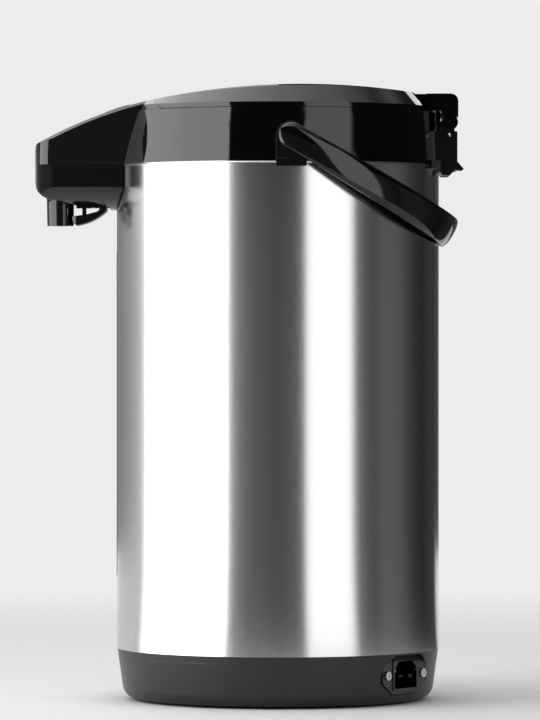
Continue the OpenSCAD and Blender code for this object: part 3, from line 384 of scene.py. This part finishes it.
def build_moulded_skin(tree, given, result):
    """Slow ripple and fine grain of moulded plastic, as a height from 0 to 1."""
    ripple = scaled_noise(tree, given["Vector"], EVEN, given["Ripple scale"], 1.0, 0.4)
    grain = scaled_noise(tree, given["Vector"], EVEN, given["Grain scale"], 2.0, 0.6)
    tree.links.new(mixed(tree, "FLOAT", given["Grain"], ripple, grain), result["Height"])


def moulded_skin():
    return shared_group(
        "Moulded skin",
        [("Vector", "NodeSocketVector", None), ("Ripple scale", "NodeSocketFloat", 25.0),
         ("Grain scale", "NodeSocketFloat", 1500.0), ("Grain", "NodeSocketFloat", 0.2)],
        [("Height", "NodeSocketFloat")],
        build_moulded_skin,
    )


def build_hairlines(tree, given, result):
    """Long fine lines up the sheet with short nicks between them."""
    lines = scaled_noise(tree, given["Vector"], LINE_STRETCH, given["Lines"], 2.0, 0.7)
    nicks = scaled_noise(tree, given["Vector"], SMEAR_STRETCH, given["Specks"], 2.0, 0.5)
    height = mixed(tree, "FLOAT", NICK_SHARE, lines, nicks)
    roughness = mapped(tree, height, To_Min=given["Low"], To_Max=given["High"])
    tree.links.new(height, result["Height"])
    tree.links.new(roughness, result["Roughness"])
    tree.links.new(mapped(tree, nicks, To_Min=given["Dark"], To_Max=1.0), result["Shade"])


def hairlines():
    return shared_group(
        "Hairlines",
        [("Vector", "NodeSocketVector", None), ("Lines", "NodeSocketFloat", 900.0),
         ("Specks", "NodeSocketFloat", 420.0), ("Low", "NodeSocketFloat", 0.12),
         ("High", "NodeSocketFloat", 0.3), ("Dark", "NodeSocketFloat", 0.8)],
        [("Height", "NodeSocketFloat"), ("Roughness", "NodeSocketFloat"),
         ("Shade", "NodeSocketFloat")],
        build_hairlines,
    )


# ---------- Materials ----------

# How much darker a metal's nicks are than its colour
NICK_SHADE = 0.55
# How much darker a clear plastic's tint is in its deepest places
CLEAR_SHADE = 0.92
BOARD_GREENS = {
    "Color1": (0.01, 0.09, 0.035, 1), "Color2": (0.015, 0.13, 0.05, 1),
    "Mortar": (0.05, 0.22, 0.08, 1),
}


def new_material(name):
    material = bpy.data.materials.new(name)
    material.use_nodes = True
    tree = material.node_tree
    place = tree.nodes.new("ShaderNodeTexCoord")
    return material, tree, tree.nodes["Principled BSDF"], place.outputs["Object"]


def bumped(tree, shader, height, distance):
    bump = tree.nodes.new("ShaderNodeBump")
    bump.inputs["Distance"].default_value = distance
    bump.inputs["Strength"].default_value = 1.0
    tree.links.new(height, bump.inputs["Height"])
    tree.links.new(bump.outputs["Normal"], shader.inputs["Normal"])


def tinted(tree, shader, value, dark, light):
    """Colours the surface between two shades by a value."""
    colour = mixed(tree, "RGBA", value, (*dark, 1), (*light, 1))
    tree.links.new(colour, shader.inputs["Base Color"])


def plastic(name, colour, rough, ripple=0.00002, grain=0.1, marks=22.0, ior=1.52, lift=1.6):
    """Moulded plastic; rough is its least and greatest roughness, lift its lightest shade."""
    material, tree, shader, vector = new_material(name)
    shader.inputs["IOR"].default_value = ior
    smears = placed(tree, handling_marks(), vector, Scale=marks, Low=rough[0], High=rough[1])
    tree.links.new(smears.outputs["Roughness"], shader.inputs["Roughness"])
    skin = placed(tree, moulded_skin(), vector, Grain=grain)
    bumped(tree, shader, skin.outputs["Height"], ripple)
    tint = scaled_noise(tree, vector, EVEN, 9.0, 2.0)
    tinted(tree, shader, tint, colour, tuple(min(1.0, c * lift) for c in colour))
    return material


def metal(name, colour, rough, lines=900.0, specks=420.0, depth=0.00001):
    """Brushed metal; lines and specks are the scales of its long lines and short nicks."""
    material, tree, shader, vector = new_material(name)
    shader.inputs["Metallic"].default_value = 1.0
    hair = placed(
        tree, hairlines(), vector,
        Lines=lines, Specks=specks, Low=rough[0], High=rough[1], Dark=0.85,
    )
    tree.links.new(hair.outputs["Roughness"], shader.inputs["Roughness"])
    bumped(tree, shader, hair.outputs["Height"], depth)
    tinted(tree, shader, hair.outputs["Shade"], tuple(c * NICK_SHADE for c in colour), colour)
    return material


def rubber_like(name, colour, rough=(0.5, 0.75), depth=0.00008):
    return plastic(name, colour, rough, ripple=depth, grain=0.7, marks=60.0, ior=1.45, lift=1.25)


def clear_plastic(name, colour, roughness=0.08):
    material, tree, shader, vector = new_material(name)
    shader.inputs["Transmission Weight"].default_value = 0.85
    shader.inputs["IOR"].default_value = 1.49
    smears = placed(
        tree, handling_marks(), vector, Scale=35.0, Low=roughness * 0.6, High=roughness * 1.6
    )
    tree.links.new(smears.outputs["Roughness"], shader.inputs["Roughness"])
    tint = scaled_noise(tree, vector, EVEN, 12.0, 2.0)
    tinted(tree, shader, tint, tuple(c * CLEAR_SHADE for c in colour), colour)
    return material


def circuit_board(name):
    material, tree, shader, vector = new_material(name)
    shader.inputs["Roughness"].default_value = 0.42
    mapping = tree.nodes.new("ShaderNodeMapping")
    mapping.inputs["Scale"].default_value = (180, 180, 180)
    tracks = tree.nodes.new("ShaderNodeTexBrick")
    tree.links.new(vector, mapping.inputs["Vector"])
    tree.links.new(mapping.outputs["Vector"], tracks.inputs["Vector"])
    for socket, green in BOARD_GREENS.items():
        tracks.inputs[socket].default_value = green
    tracks.inputs["Mortar Size"].default_value = 0.03
    tree.links.new(tracks.outputs["Color"], shader.inputs["Base Color"])
    bumped(tree, shader, tracks.outputs["Fac"], 0.00003)
    return material


def all_finishes(settings):
    """One material for each of the record's slots."""
    return {
        "gloss_black": plastic(
            "Polished black moulding", settings.gloss_black, (0.03, 0.06),
            ripple=settings.ripple_depth, grain=0.02,
        ),
        "matt_black": plastic(
            "Satin black moulding", settings.satin_black, (0.3, 0.42),
            ripple=0.00003, grain=0.5, marks=40.0,
        ),
        "brushed_steel": metal(
            "Brushed jacket sheet", settings.sheet_steel, (0.14, 0.20), depth=settings.brush_depth
        ),
        "pot_steel": metal(
            "Drawn pot steel", (0.66, 0.66, 0.665), (0.2, 0.32), lines=500.0, specks=300.0
        ),
        "bright_steel": metal(
            "Plated steel", (0.72, 0.72, 0.73), (0.12, 0.2),
            lines=1200.0, specks=900.0, depth=0.000004,
        ),
        "motor_steel": metal(
            "Zinc plated steel", (0.42, 0.42, 0.43), (0.3, 0.42), lines=700.0, specks=300.0
        ),
        "rubber": rubber_like("Black foot rubber", (0.018, 0.018, 0.018)),
        "silicone": rubber_like(
            "Translucent silicone", (0.62, 0.63, 0.64), (0.35, 0.5), depth=0.00003
        ),
        "clear": clear_plastic("Clear tube and window", (0.8, 0.86, 0.88)),
        "red_button": plastic("Red key cap", (0.33, 0.012, 0.008), (0.18, 0.26), grain=0.3),
        "grey_button": plastic("Grey key cap", (0.09, 0.09, 0.095), (0.2, 0.3), grain=0.3),
        "lamp": clear_plastic("Red lamp lens", (0.75, 0.05, 0.03), 0.15),
        "circuit_board": circuit_board("Circuit board"),
        "white_plastic": plastic(
            "White pump plastic", (0.6, 0.6, 0.58), (0.35, 0.5),
            ripple=0.00003, grain=0.4, marks=30.0, ior=1.5, lift=1.1,
        ),
        "mica": plastic(
            "Mica heater wrap", (0.16, 0.13, 0.08), (0.4, 0.6),
            ripple=0.0001, grain=0.6, marks=50.0, ior=1.5, lift=1.8,
        ),
    }


FINISH = {}


def give(piece, slot_name):
    """Gives a piece the finish of one of the record's material slots."""
    piece.data.materials.clear()
    piece.data.materials.append(FINISH[slot_name])
    return piece


# ---------- Pieces ----------


class THERMOPOT_OT_finishes(bpy.types.Operator):
    """Makes every finish and gives each frame node its own"""

    bl_idname = "thermopot.finishes"
    bl_label = "Finishes"

    def execute(self, context):
        FINISH.update(all_finishes(context.scene.thermopot_finish))
        for part in frame["record"]["subparts"]:
            node = frame["nodes"][part["node"]]
            node.data.materials.clear()
            node.data.materials.append(FINISH[part["material_slot"]])
        return {"FINISHED"}


# Frame node: its moulding's name, body and slot, and its edge round where that is its own
SOFTENED = {
    "top_housing": ("head_moulding", "root", "gloss_black"),
    "lid_shell": ("lid_moulding", "lid", "gloss_black"),
    "base_shell": ("base_moulding", "root", "matt_black"),
    "spout_lower_housing": ("spout_underside", "root", "gloss_black"),
    "control_panel": ("control_plate", "root", "gloss_black"),
    "cup_lever": ("cup_lever_moulding", "lever", "gloss_black"),
    "nozzle": ("nozzle_moulding", "root", "gloss_black"),
    "hinge_bracket": ("hinge_block", "root", "gloss_black"),
    "release_lever": ("release_tab", "hinge_release", "gloss_black"),
    "handle_bracket_left": ("near_handle_mount", "root", "gloss_black"),
    "handle_bracket_right": ("far_handle_mount", "root", "gloss_black"),
    "power_inlet": ("mains_inlet", "root", "gloss_black"),
    "lid_latch": ("latch_slide_plate", "latch", "gloss_black"),
    "steam_vent": ("steam_cap", "lid", "matt_black"),
    "level_bezel": ("level_surround", "root", "gloss_black"),
    "dispense_button": ("dispense_key_cap", "dispense_key", "red_button"),
    "reboil_button": ("reboil_key_cap", "reboil_key", "grey_button"),
    "unlock_button": ("unlock_key_cap", "unlock_key", "grey_button"),
    "release_pin": ("release_rivet", "root", "bright_steel", 0.0006),
    "lid_gasket": ("gasket_lip", "lid", "silicone"),
    "foot_ring": ("foot_rubber", "root", "rubber"),
    "bottom_cover": ("bottom_plate", "root", "matt_black"),
    "lid_inner_plate": ("inner_lid_dish", "lid", "pot_steel"),
}


class THERMOPOT_OT_mouldings(bpy.types.Operator):
    """Rounds the edges and smooths the curves of the moulded parts"""

    bl_idname = "thermopot.mouldings"
    bl_label = "Mouldings"

    def execute(self, context):
        settings = context.scene.thermopot_moulding
        for node, (name, body, slot_name, *edge) in SOFTENED.items():
            give(softened(node, name, body, settings, *edge), slot_name)
        return {"FINISHED"}


# Power of the handle's bow, where 2 is an ellipse, and of its section, where 1 is one
BOW_POWER = 2.08
SECTION_POWER = 0.9
SECTION_POINTS = 28
# Places of the sections that round off an arm's end, as shares of its half height
END_SHARES = (0.995, 0.97, 0.92, 0.84, 0.72, 0.56, 0.36, 0.15)


def signed_power(value, power):
    return math.copysign(abs(value) ** power, value)


def handle_stations(settings):
    """Reach, side and height of the handle's sections, from the near pivot to the far one."""

    def height(reach):
        share = min(1.0, max(0.0, reach / settings.reach))
        return settings.arm_height + (settings.grip_height - settings.arm_height) * share

    ends = [
        (-share * settings.arm_height / 2, settings.half_width,
         settings.arm_height * math.sqrt(1 - share * share))
        for share in END_SHARES
    ]
    bow = []
    for i in range(settings.stations + 1):
        angle = math.pi * i / settings.stations
        reach = settings.reach * math.sin(angle) ** (2 / BOW_POWER)
        side = settings.half_width * signed_power(math.cos(angle), 2 / BOW_POWER)
        bow.append((reach, side, height(reach)))
    return ends + bow + [(u, -y, h) for u, y, h in reversed(ends)]


def handle_corners(settings, stations):
    """Points of the handle's rounded section at each station, tilted to its rest."""
    cos_rest, sin_rest = math.cos(settings.rest_angle), math.sin(settings.rest_angle)
    corners = []
    for i, (reach, side, height) in enumerate(stations):
        before, after = stations[max(0, i - 1)], stations[min(len(stations) - 1, i + 1)]
        along = Vector((after[0] - before[0], after[1] - before[1])).normalized()
        outward = Vector((along.y, -along.x))
        for j in range(SECTION_POINTS):
            angle = 2 * math.pi * j / SECTION_POINTS
            across = signed_power(math.cos(angle), SECTION_POWER) * settings.thickness / 2
            up = signed_power(math.sin(angle), SECTION_POWER) * height / 2
            u, y = reach + outward.x * across, side + outward.y * across
            corners.append((
                PIVOT.x + u * cos_rest + up * sin_rest, y,
                PIVOT.z - u * sin_rest + up * cos_rest,
            ))
    return corners


def tube_faces(rings, around):
    """Faces of a tube of rings with closed ends."""
    faces = []
    for i in range(rings - 1):
        for j in range(around):
            a, b = i * around + j, i * around + (j + 1) % around
            faces.append((a, b, b + around, a + around))
    last = (rings - 1) * around
    return faces + [tuple(reversed(range(around))), tuple(last + j for j in range(around))]


def face_outwards(mesh):
    solid = bmesh.new()
    solid.from_mesh(mesh)
    bmesh.ops.recalc_face_normals(solid, faces=solid.faces)
    solid.to_mesh(mesh)
    solid.free()


class THERMOPOT_OT_handle(bpy.types.Operator):
    """Sweeps the carrying handle's rounded section along its bow"""

    bl_idname = "thermopot.handle"
    bl_label = "Handle"

    def execute(self, context):
        settings = context.scene.thermopot_handle
        stations = handle_stations(settings)
        piece = mesh_object(
            "carrying_handle", handle_corners(settings, stations),
            tube_faces(len(stations), SECTION_POINTS),
        )
        face_outwards(piece.data)
        piece.data.shade_smooth()
        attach(piece, "carry_handle")
        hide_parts("handle")
        give(piece, "gloss_black")
        return {"FINISHED"}


# Steps along a bead's arc and round its wire
BEAD_STEPS, WIRE_STEPS = 24, 10


def bead_tree():
    """Geometry Nodes: level beads, short arcs that repeat up the pot's wall."""
    tree = bpy.data.node_groups.new("Level beads", "GeometryNodeTree")
    given, result = group_sockets(
        tree,
        [("Radius", "NodeSocketFloat", 0.08), ("Sweep", "NodeSocketFloat", 0.4),
         ("Wire", "NodeSocketFloat", 0.0007), ("Count", "NodeSocketInt", 5),
         ("Spacing", "NodeSocketFloat", 0.05), ("Foot", "NodeSocketFloat", 0.1),
         ("Turn", "NodeSocketFloat", 0.0), ("Material", "NodeSocketMaterial", None)],
        [("Geometry", "NodeSocketGeometry")],
    )
    inputs = given.outputs

    def node(kind, **links):
        made = tree.nodes.new(kind)
        for name, source in links.items():
            tree.links.new(source, made.inputs[name.replace("_", " ")])
        return made

    arc = node("GeometryNodeCurveArc", Radius=inputs["Radius"], Start_Angle=inputs["Turn"],
               Sweep_Angle=inputs["Sweep"])
    arc.inputs["Resolution"].default_value = BEAD_STEPS
    wire = node("GeometryNodeCurvePrimitiveCircle", Radius=inputs["Wire"])
    wire.inputs["Resolution"].default_value = WIRE_STEPS
    bead = node("GeometryNodeCurveToMesh", Curve=arc.outputs["Curve"],
                Profile_Curve=wire.outputs["Curve"])
    bead.inputs["Fill Caps"].default_value = True
    foot = node("ShaderNodeCombineXYZ", Z=inputs["Foot"])
    step = node("ShaderNodeCombineXYZ", Z=inputs["Spacing"])
    line = node("GeometryNodeMeshLine", Count=inputs["Count"], Start_Location=foot.outputs[0],
                Offset=step.outputs[0])
    spread = node("GeometryNodeInstanceOnPoints", Points=line.outputs["Mesh"],
                  Instance=bead.outputs["Mesh"])
    real = node("GeometryNodeRealizeInstances", Geometry=spread.outputs["Instances"])
    smooth = node("GeometryNodeSetShadeSmooth", Geometry=real.outputs["Geometry"])
    dressed = node("GeometryNodeSetMaterial", Geometry=smooth.outputs["Geometry"],
                   Material=inputs["Material"])
    tree.links.new(dressed.outputs["Geometry"], result.inputs["Geometry"])
    return tree


class THERMOPOT_OT_beads(bpy.types.Operator):
    """Lays the level beads on the pot's wall with Geometry Nodes"""

    bl_idname = "thermopot.beads"
    bl_label = "Level beads"

    def execute(self, context):
        settings = context.scene.thermopot_bead
        piece = mesh_object("level_beads", [], [])
        tree = bead_tree()
        grower = piece.modifiers.new("Level beads", "NODES")
        grower.node_group = tree
        values = {
            "Radius": settings.pot_radius, "Sweep": settings.sweep, "Wire": settings.wire,
            "Count": settings.count, "Spacing": settings.spacing, "Foot": settings.foot,
            "Turn": math.pi - settings.sweep / 2, "Material": FINISH["pot_steel"],
        }
        for socket in tree.interface.items_tree:
            if socket.in_out == "INPUT":
                grower[socket.identifier] = values[socket.name]
        finished(piece)
        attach(piece, "root")
        give(piece, "pot_steel")
        return {"FINISHED"}


# ---------- Floor and background ----------

# The floor is a disc, shaded near the pot and as pale as the background farther out
FLOOR_RADIUS, FLOOR_SIDES = 6, 64
SHADED_TO, PALE_FROM = 0.35, 1.4
FILL_COLOUR, FILL_STRENGTH = (0.8, 0.81, 0.82, 1), 0.45


def ray_switch(tree, shown, other):
    """Mixes two shaders by whether the camera, gloss or glass looks at them."""
    path = tree.nodes.new("ShaderNodeLightPath").outputs
    seen = calculated(tree, "MAXIMUM", path["Is Camera Ray"], path["Is Glossy Ray"])
    seen = calculated(tree, "MAXIMUM", seen, path["Is Transmission Ray"])
    return mixed_shaders(tree, seen, other, shown)


def studio_world(scene, brightness):
    world = bpy.data.worlds.new("Studio")
    world.use_nodes = True
    scene.world = world
    tree = world.node_tree
    fill, seen = tree.nodes["Background"], tree.nodes.new("ShaderNodeBackground")
    for shader, colour, strength in (
        (fill, FILL_COLOUR, FILL_STRENGTH), (seen, WHITE, brightness),
    ):
        shader.inputs["Color"].default_value = colour
        shader.inputs["Strength"].default_value = strength
    shown = ray_switch(tree, seen.outputs[0], fill.outputs[0])
    tree.links.new(shown, tree.nodes["World Output"].inputs["Surface"])


def studio_floor(brightness):
    turns = [2 * math.pi * i / FLOOR_SIDES for i in range(FLOOR_SIDES)]
    floor = mesh_object(
        "studio_floor",
        [(FLOOR_RADIUS * math.cos(turn), FLOOR_RADIUS * math.sin(turn), 0) for turn in turns],
        [tuple(range(FLOOR_SIDES))],
    )
    material, tree, shader, vector = new_material("Plain pale floor")
    shader.inputs["Base Color"].default_value = (0.78, 0.78, 0.79, 1)
    shader.inputs["Roughness"].default_value = 0.9
    shader.inputs["Specular IOR Level"].default_value = 0.1
    length = tree.nodes.new("ShaderNodeVectorMath")
    length.operation = "LENGTH"
    tree.links.new(vector, length.inputs[0])
    far = mapped(
        tree, length.outputs["Value"], "SMOOTHSTEP", From_Min=SHADED_TO, From_Max=PALE_FROM
    )
    fade = mixed_shaders(tree, far, shader.outputs[0], emission(tree, WHITE, brightness))
    surface_of(tree, ray_switch(tree, fade, shader.outputs[0]))
    floor.data.materials.append(material)


# ---------- Panels that the gloss reflects ----------

# Brightness by bearing in degrees from the front, the spout's side positive, as shares of
# the softbox: low on the tent, and high where only the collar and the lid look
LOW_STOPS = [
    (-180, 0.05), (-172, 0.04), (-150, 0.012), (-134, 0.012), (-124, 0.006), (-108, 0.013),
    (-94, 0.033), (-78, 0.038), (-71, 0.02), (-58, 0.035), (-55, 0.05), (-52, 0.42),
    (-20, 0.42), (-18.2, 0.028), (0, 0.022), (20, 0.034), (31, 0.06), (35.5, 0.10),
    (36.5, 1.0), (103, 1.0), (108, 0.2), (118, 0.13), (133, 0.09), (150, 0.065), (180, 0.05),
]
HIGH_STOPS = [
    (-180, 0.004), (-55, 0.004), (-52, 0.42), (-20, 0.42), (-18.2, 0.004), (34.0, 0.004),
    (35.0, 1.0), (84, 1.0), (100, 0.83), (111, 0.69), (120, 0.53), (130, 0.39), (142, 0.27),
    (160, 0.15), (180, 0.08),
]
# The ceiling's brightness from the spout's side, 0, to the hinge's side, 1
CEILING_STOPS = [
    (0.0, 0.9), (0.26, 0.85), (0.5, 0.5), (0.73, 0.24), (0.86, 0.05), (0.92, 0.1),
    (0.965, 0.015), (1.0, 0.01),
]
CEILING_REACH = 1.2
TENT_RADIUS, TENT_HEIGHT, TENT_STEPS = 2.2, 1.7, 96
# Height on the tent where the low pattern gives way to the high one, and half the blend
TENT_SHELF, SHELF_BLEND = 0.46, 0.01
# Inner radius, height and bearings of the floor's panels
RING_RADIUS, RING_HEIGHT, RING_BEARINGS = 0.45, 0.003, (-150, 116)
BACK_CARD = {"radius": 2.15, "heights": (1.25, 1.69), "bearings": (-178, -150.6), "steps": 12}
BACK_CARD_COLOUR = (0.63, 0.63, 0.63, 1)
# The painted dark reflection on the spout's side, a dim card over the floor: its sides and height,
# its brightness, and the length of the rays that see it
DARK_REFLECTION_X, DARK_REFLECTION_Y, DARK_REFLECTION_HEIGHT = (-0.45, -0.08), (-0.45, -0.15), 0.004
DARK_REFLECTION_BRIGHTNESS, DARK_REFLECTION_RANGE = 0.14, (0.43, 0.50)
# Painted grey reflection on the spout's nose: a glowing card round the nose that only gloss rays
# of the nose's distance see
NOSE_REFLECTION_CARD = {
    "radius": 0.12, "heights": (0.328, 0.415), "bearings": (30, 178), "steps": 24,
    "centre": (-0.146, -0.020),
}
NOSE_REFLECTION_RANGE = (0.08, 0.14)


def gloss_only(piece, material):
    """A card that shows only in gloss, and neither lights nor shades the pot."""
    piece.data.materials.append(material)
    piece.visible_camera = False
    piece.visible_diffuse = False
    piece.visible_shadow = False
    piece.visible_transmission = False
    piece.visible_volume_scatter = False


def circle_points(radius, height, bearings=(0, 360), steps=TENT_STEPS, centre=(0.0, 0.0)):
    """Points round an upright axis; bearings run from the front towards the spout's side."""
    start, end = (math.radians(bearing) for bearing in bearings)
    turns = [start + (end - start) * i / steps for i in range(steps + 1)]
    return [
        (centre[0] - radius * math.sin(turn), centre[1] - radius * math.cos(turn), height)
        for turn in turns
    ]


def strip_between(name, first, second):
    """A strip of faces between two runs of points."""
    count = len(first)
    return mesh_object(
        name, first + second,
        [(i, i + 1, i + 1 + count, i + count) for i in range(count - 1)],
    )


def upright_card(name, radius, heights, **arc):
    """A curved card between two heights."""
    return strip_between(name, *(circle_points(radius, height, **arc) for height in heights))


def separated(tree, vector):
    split = tree.nodes.new("ShaderNodeSeparateXYZ")
    tree.links.new(vector, split.inputs[0])
    return split.outputs


def ramp_of(tree, stops, position):
    """Colour ramp of brightness shares, looked up at a position from 0 to 1."""
    ramp = tree.nodes.new("ShaderNodeValToRGB")
    elements = ramp.color_ramp.elements
    while len(elements) < len(stops):
        elements.new(0.5)
    for element, (place, value) in zip(elements, stops):
        element.position = place
        element.color = (value, value, value, 1)
    tree.links.new(position, ramp.inputs["Fac"])
    return ramp.outputs["Color"]


def bearing_ramp(tree, stops, bearing):
    """Colour ramp of stops that are given by bearing in degrees."""
    return ramp_of(tree, [((degrees + 180) / 360, share) for degrees, share in stops], bearing)


def glowing(tree, shader, colour, strength):
    """Makes a material glow instead of shading."""
    tree.nodes.remove(shader)
    surface_of(tree, emission(tree, colour, strength))


def bearing_of(tree, split):
    """Bearing round the pot as 0..1: a half at the front, more towards the spout's side."""
    turned = [calculated(tree, "MULTIPLY", split[axis], -1) for axis in ("X", "Y")]
    angle = calculated(tree, "ARCTAN2", *turned)
    return mapped(tree, angle, From_Min=-math.pi, From_Max=math.pi)


def pattern_material(name, softbox, tall):
    """The tent's pattern by bearing; a tall one changes at the shelf."""
    material, tree, shader, vector = new_material(name)
    split = separated(tree, vector)
    bearing = bearing_of(tree, split)
    pattern = bearing_ramp(tree, LOW_STOPS, bearing)
    if tall:
        shelf = mapped(
            tree, split["Z"], From_Min=TENT_SHELF - SHELF_BLEND, From_Max=TENT_SHELF + SHELF_BLEND
        )
        high = bearing_ramp(tree, HIGH_STOPS, bearing)
        pattern = mixed(tree, "RGBA", shelf, pattern, high)
    glowing(tree, shader, pattern, softbox)
    return material


def studio_tent(softbox):
    """Panels round, over and under the pot that its steel and gloss reflect."""
    wall = upright_card("studio_panels", TENT_RADIUS, (0.0, TENT_HEIGHT))
    gloss_only(wall, pattern_material("Studio panels", softbox, True))

    # The same pattern on the floor, so that the steel's streaks run straight to the base
    ring = strip_between("studio_floor_panels", *(
        circle_points(radius, RING_HEIGHT, RING_BEARINGS) for radius in (RING_RADIUS, TENT_RADIUS)
    ))
    gloss_only(ring, pattern_material("Studio floor panels", softbox, False))

    ceiling = mesh_object(
        "studio_ceiling", circle_points(TENT_RADIUS, TENT_HEIGHT)[:-1], [tuple(range(TENT_STEPS))]
    )
    material, tree, shader, vector = new_material("Studio ceiling")
    across = mapped(
        tree, separated(tree, vector)["X"], From_Min=-CEILING_REACH, From_Max=CEILING_REACH
    )
    glowing(tree, shader, ramp_of(tree, CEILING_STOPS, across), softbox)
    gloss_only(ceiling, material)

    # Bright card high at the back, which the lid's hinge end reflects
    card = upright_card("studio_back_card", **BACK_CARD)
    material, tree, shader, _ = new_material("Back card")
    glowing(tree, shader, BACK_CARD_COLOUR, softbox)
    gloss_only(card, material)


# Used for painted reflections: a card with this material shows only in the gloss of surfaces at
# the given distance from it
def ranged_card(name, brightness, nearest, farthest):
    """A card's material that glows for rays of a range of lengths, and lets all others through."""
    material, tree, shader, _ = new_material(name)
    tree.nodes.remove(shader)
    path = tree.nodes.new("ShaderNodeLightPath")
    inside = calculated(
        tree, "COMPARE", path.outputs["Ray Length"],
        (nearest + farthest) / 2, (farthest - nearest) / 2,
    )
    clear = tree.nodes.new("ShaderNodeBsdfTransparent")
    glow = emission(tree, WHITE, brightness)
    surface_of(tree, mixed_shaders(tree, inside, clear.outputs[0], glow))
    return material


def painted_dark_reflection():
    """Painted dark reflection: a dim card on the floor that glows only for gloss rays of a set
    length, so that the spout's side reflects it.
    """
    (left, right), (front, back) = DARK_REFLECTION_X, DARK_REFLECTION_Y
    sides = [(left, front), (right, front), (right, back), (left, back)]
    cloth = mesh_object("painted_dark_reflection_card", [(*side, DARK_REFLECTION_HEIGHT) for side in sides], [(0, 1, 2, 3)])
    # This card paints a dark reflection onto the spout's side only; it neither lights nor shades
    # anything
    gloss_only(cloth, ranged_card("Painted dark reflection", DARK_REFLECTION_BRIGHTNESS, *DARK_REFLECTION_RANGE))


def nose_reflection_painter(brightness):
    """Painted grey reflection on the spout's nose: a grey card standing off the nose that glows
    only for gloss at the nose's distance.
    """
    card = upright_card("painted_nose_reflection_card", **NOSE_REFLECTION_CARD)
    gloss_only(card, ranged_card("Painted grey reflection", brightness, *NOSE_REFLECTION_RANGE))


# ---------- Lamps and camera ----------

# Name, place, height aimed at, width and height, and share of the key light's power
LAMPS = [
    ("key_light", (-1.5, -0.7, 1.0), 0.2, (1.2, 1.4), 1.0),
    ("fill_light", (1.3, -1.2, 0.9), 0.2, (0.8, 1.2), 0.35),
    ("top_light", (-0.2, 0.2, 1.6), 0.3, (1.4, 1.4), 0.7),
]
CAMERA_AIM = Vector((-0.00516, 0, 0.2237))
CAMERA_SENSOR, CAMERA_REACH = 36, 50


def aimed(piece, place, target):
    """Puts a lamp or camera at a place, looking at a target."""
    piece.location = place
    look = Vector(target) - Vector(place)
    piece.rotation_euler = look.to_track_quat("-Z", "Y").to_euler()
    bpy.context.scene.collection.objects.link(piece)
    return piece


def area_light(name, place, target, size, power):
    lamp = bpy.data.lights.new(name, "AREA")
    lamp.shape = "RECTANGLE"
    lamp.size, lamp.size_y = size
    lamp.energy = power
    piece = aimed(bpy.data.objects.new(name, lamp), place, target)
    piece.visible_glossy = False


def studio_camera(settings):
    camera = bpy.data.cameras.new("studio_camera")
    camera.lens = settings.lens
    camera.sensor_width = CAMERA_SENSOR
    camera.clip_end = CAMERA_REACH
    place = (CAMERA_AIM.x, -settings.camera_distance, settings.camera_height)
    return aimed(bpy.data.objects.new("studio_camera", camera), place, CAMERA_AIM)


class THERMOPOT_OT_studio(bpy.types.Operator):
    """Sets the camera, floor, panels and lights"""

    bl_idname = "thermopot.studio"
    bl_label = "Studio"

    def execute(self, context):
        scene = context.scene
        settings = scene.thermopot_studio
        scene.view_settings.view_transform = "Standard"
        studio_world(scene, settings.background)
        studio_floor(settings.background)
        studio_tent(settings.softbox)
        # Painted reflections: a dark one on the spout's side and a grey one on the spout's nose
        painted_dark_reflection()
        nose_reflection_painter(settings.flag)
        for name, place, height, size, share in LAMPS:
            area_light(name, place, (0, 0, height), size, settings.key_power * share)
        scene.camera = studio_camera(settings)
        return {"FINISHED"}


# ---------- Panel and registration ----------

STEPS = ("finishes", "mouldings", "handle", "beads", "studio")
SETTINGS = {
    "thermopot_finish": FinishSettings,
    "thermopot_moulding": MouldingSettings,
    "thermopot_handle": HandleSettings,
    "thermopot_bead": BeadSettings,
    "thermopot_studio": StudioSettings,
}


class THERMOPOT_PT_panel(bpy.types.Panel):
    """Lists the thermo pot's pieces and their settings"""

    bl_label = "Thermo Pot"
    bl_idname = "THERMOPOT_PT_panel"
    bl_space_type = "VIEW_3D"
    bl_region_type = "UI"
    bl_category = "Thermo Pot"

    def draw(self, context):
        for step in STEPS:
            self.layout.operator(f"thermopot.{step}")
        for holder, group in SETTINGS.items():
            box = self.layout.box()
            for name in group.__annotations__:
                box.prop(getattr(context.scene, holder), name)


CLASSES = (
    *SETTINGS.values(),
    THERMOPOT_OT_finishes,
    THERMOPOT_OT_mouldings,
    THERMOPOT_OT_handle,
    THERMOPOT_OT_beads,
    THERMOPOT_OT_studio,
    THERMOPOT_PT_panel,
)


def register():
    for cls in CLASSES:
        bpy.utils.register_class(cls)
    for holder, group in SETTINGS.items():
        setattr(bpy.types.Scene, holder, PointerProperty(type=group))


def unregister():
    for holder in SETTINGS:
        delattr(bpy.types.Scene, holder)
    for cls in reversed(CLASSES):
        bpy.utils.unregister_class(cls)


def main():
    register()
    for step in STEPS:
        getattr(bpy.ops.thermopot, step)()


if __name__ == "__main__":
    main()
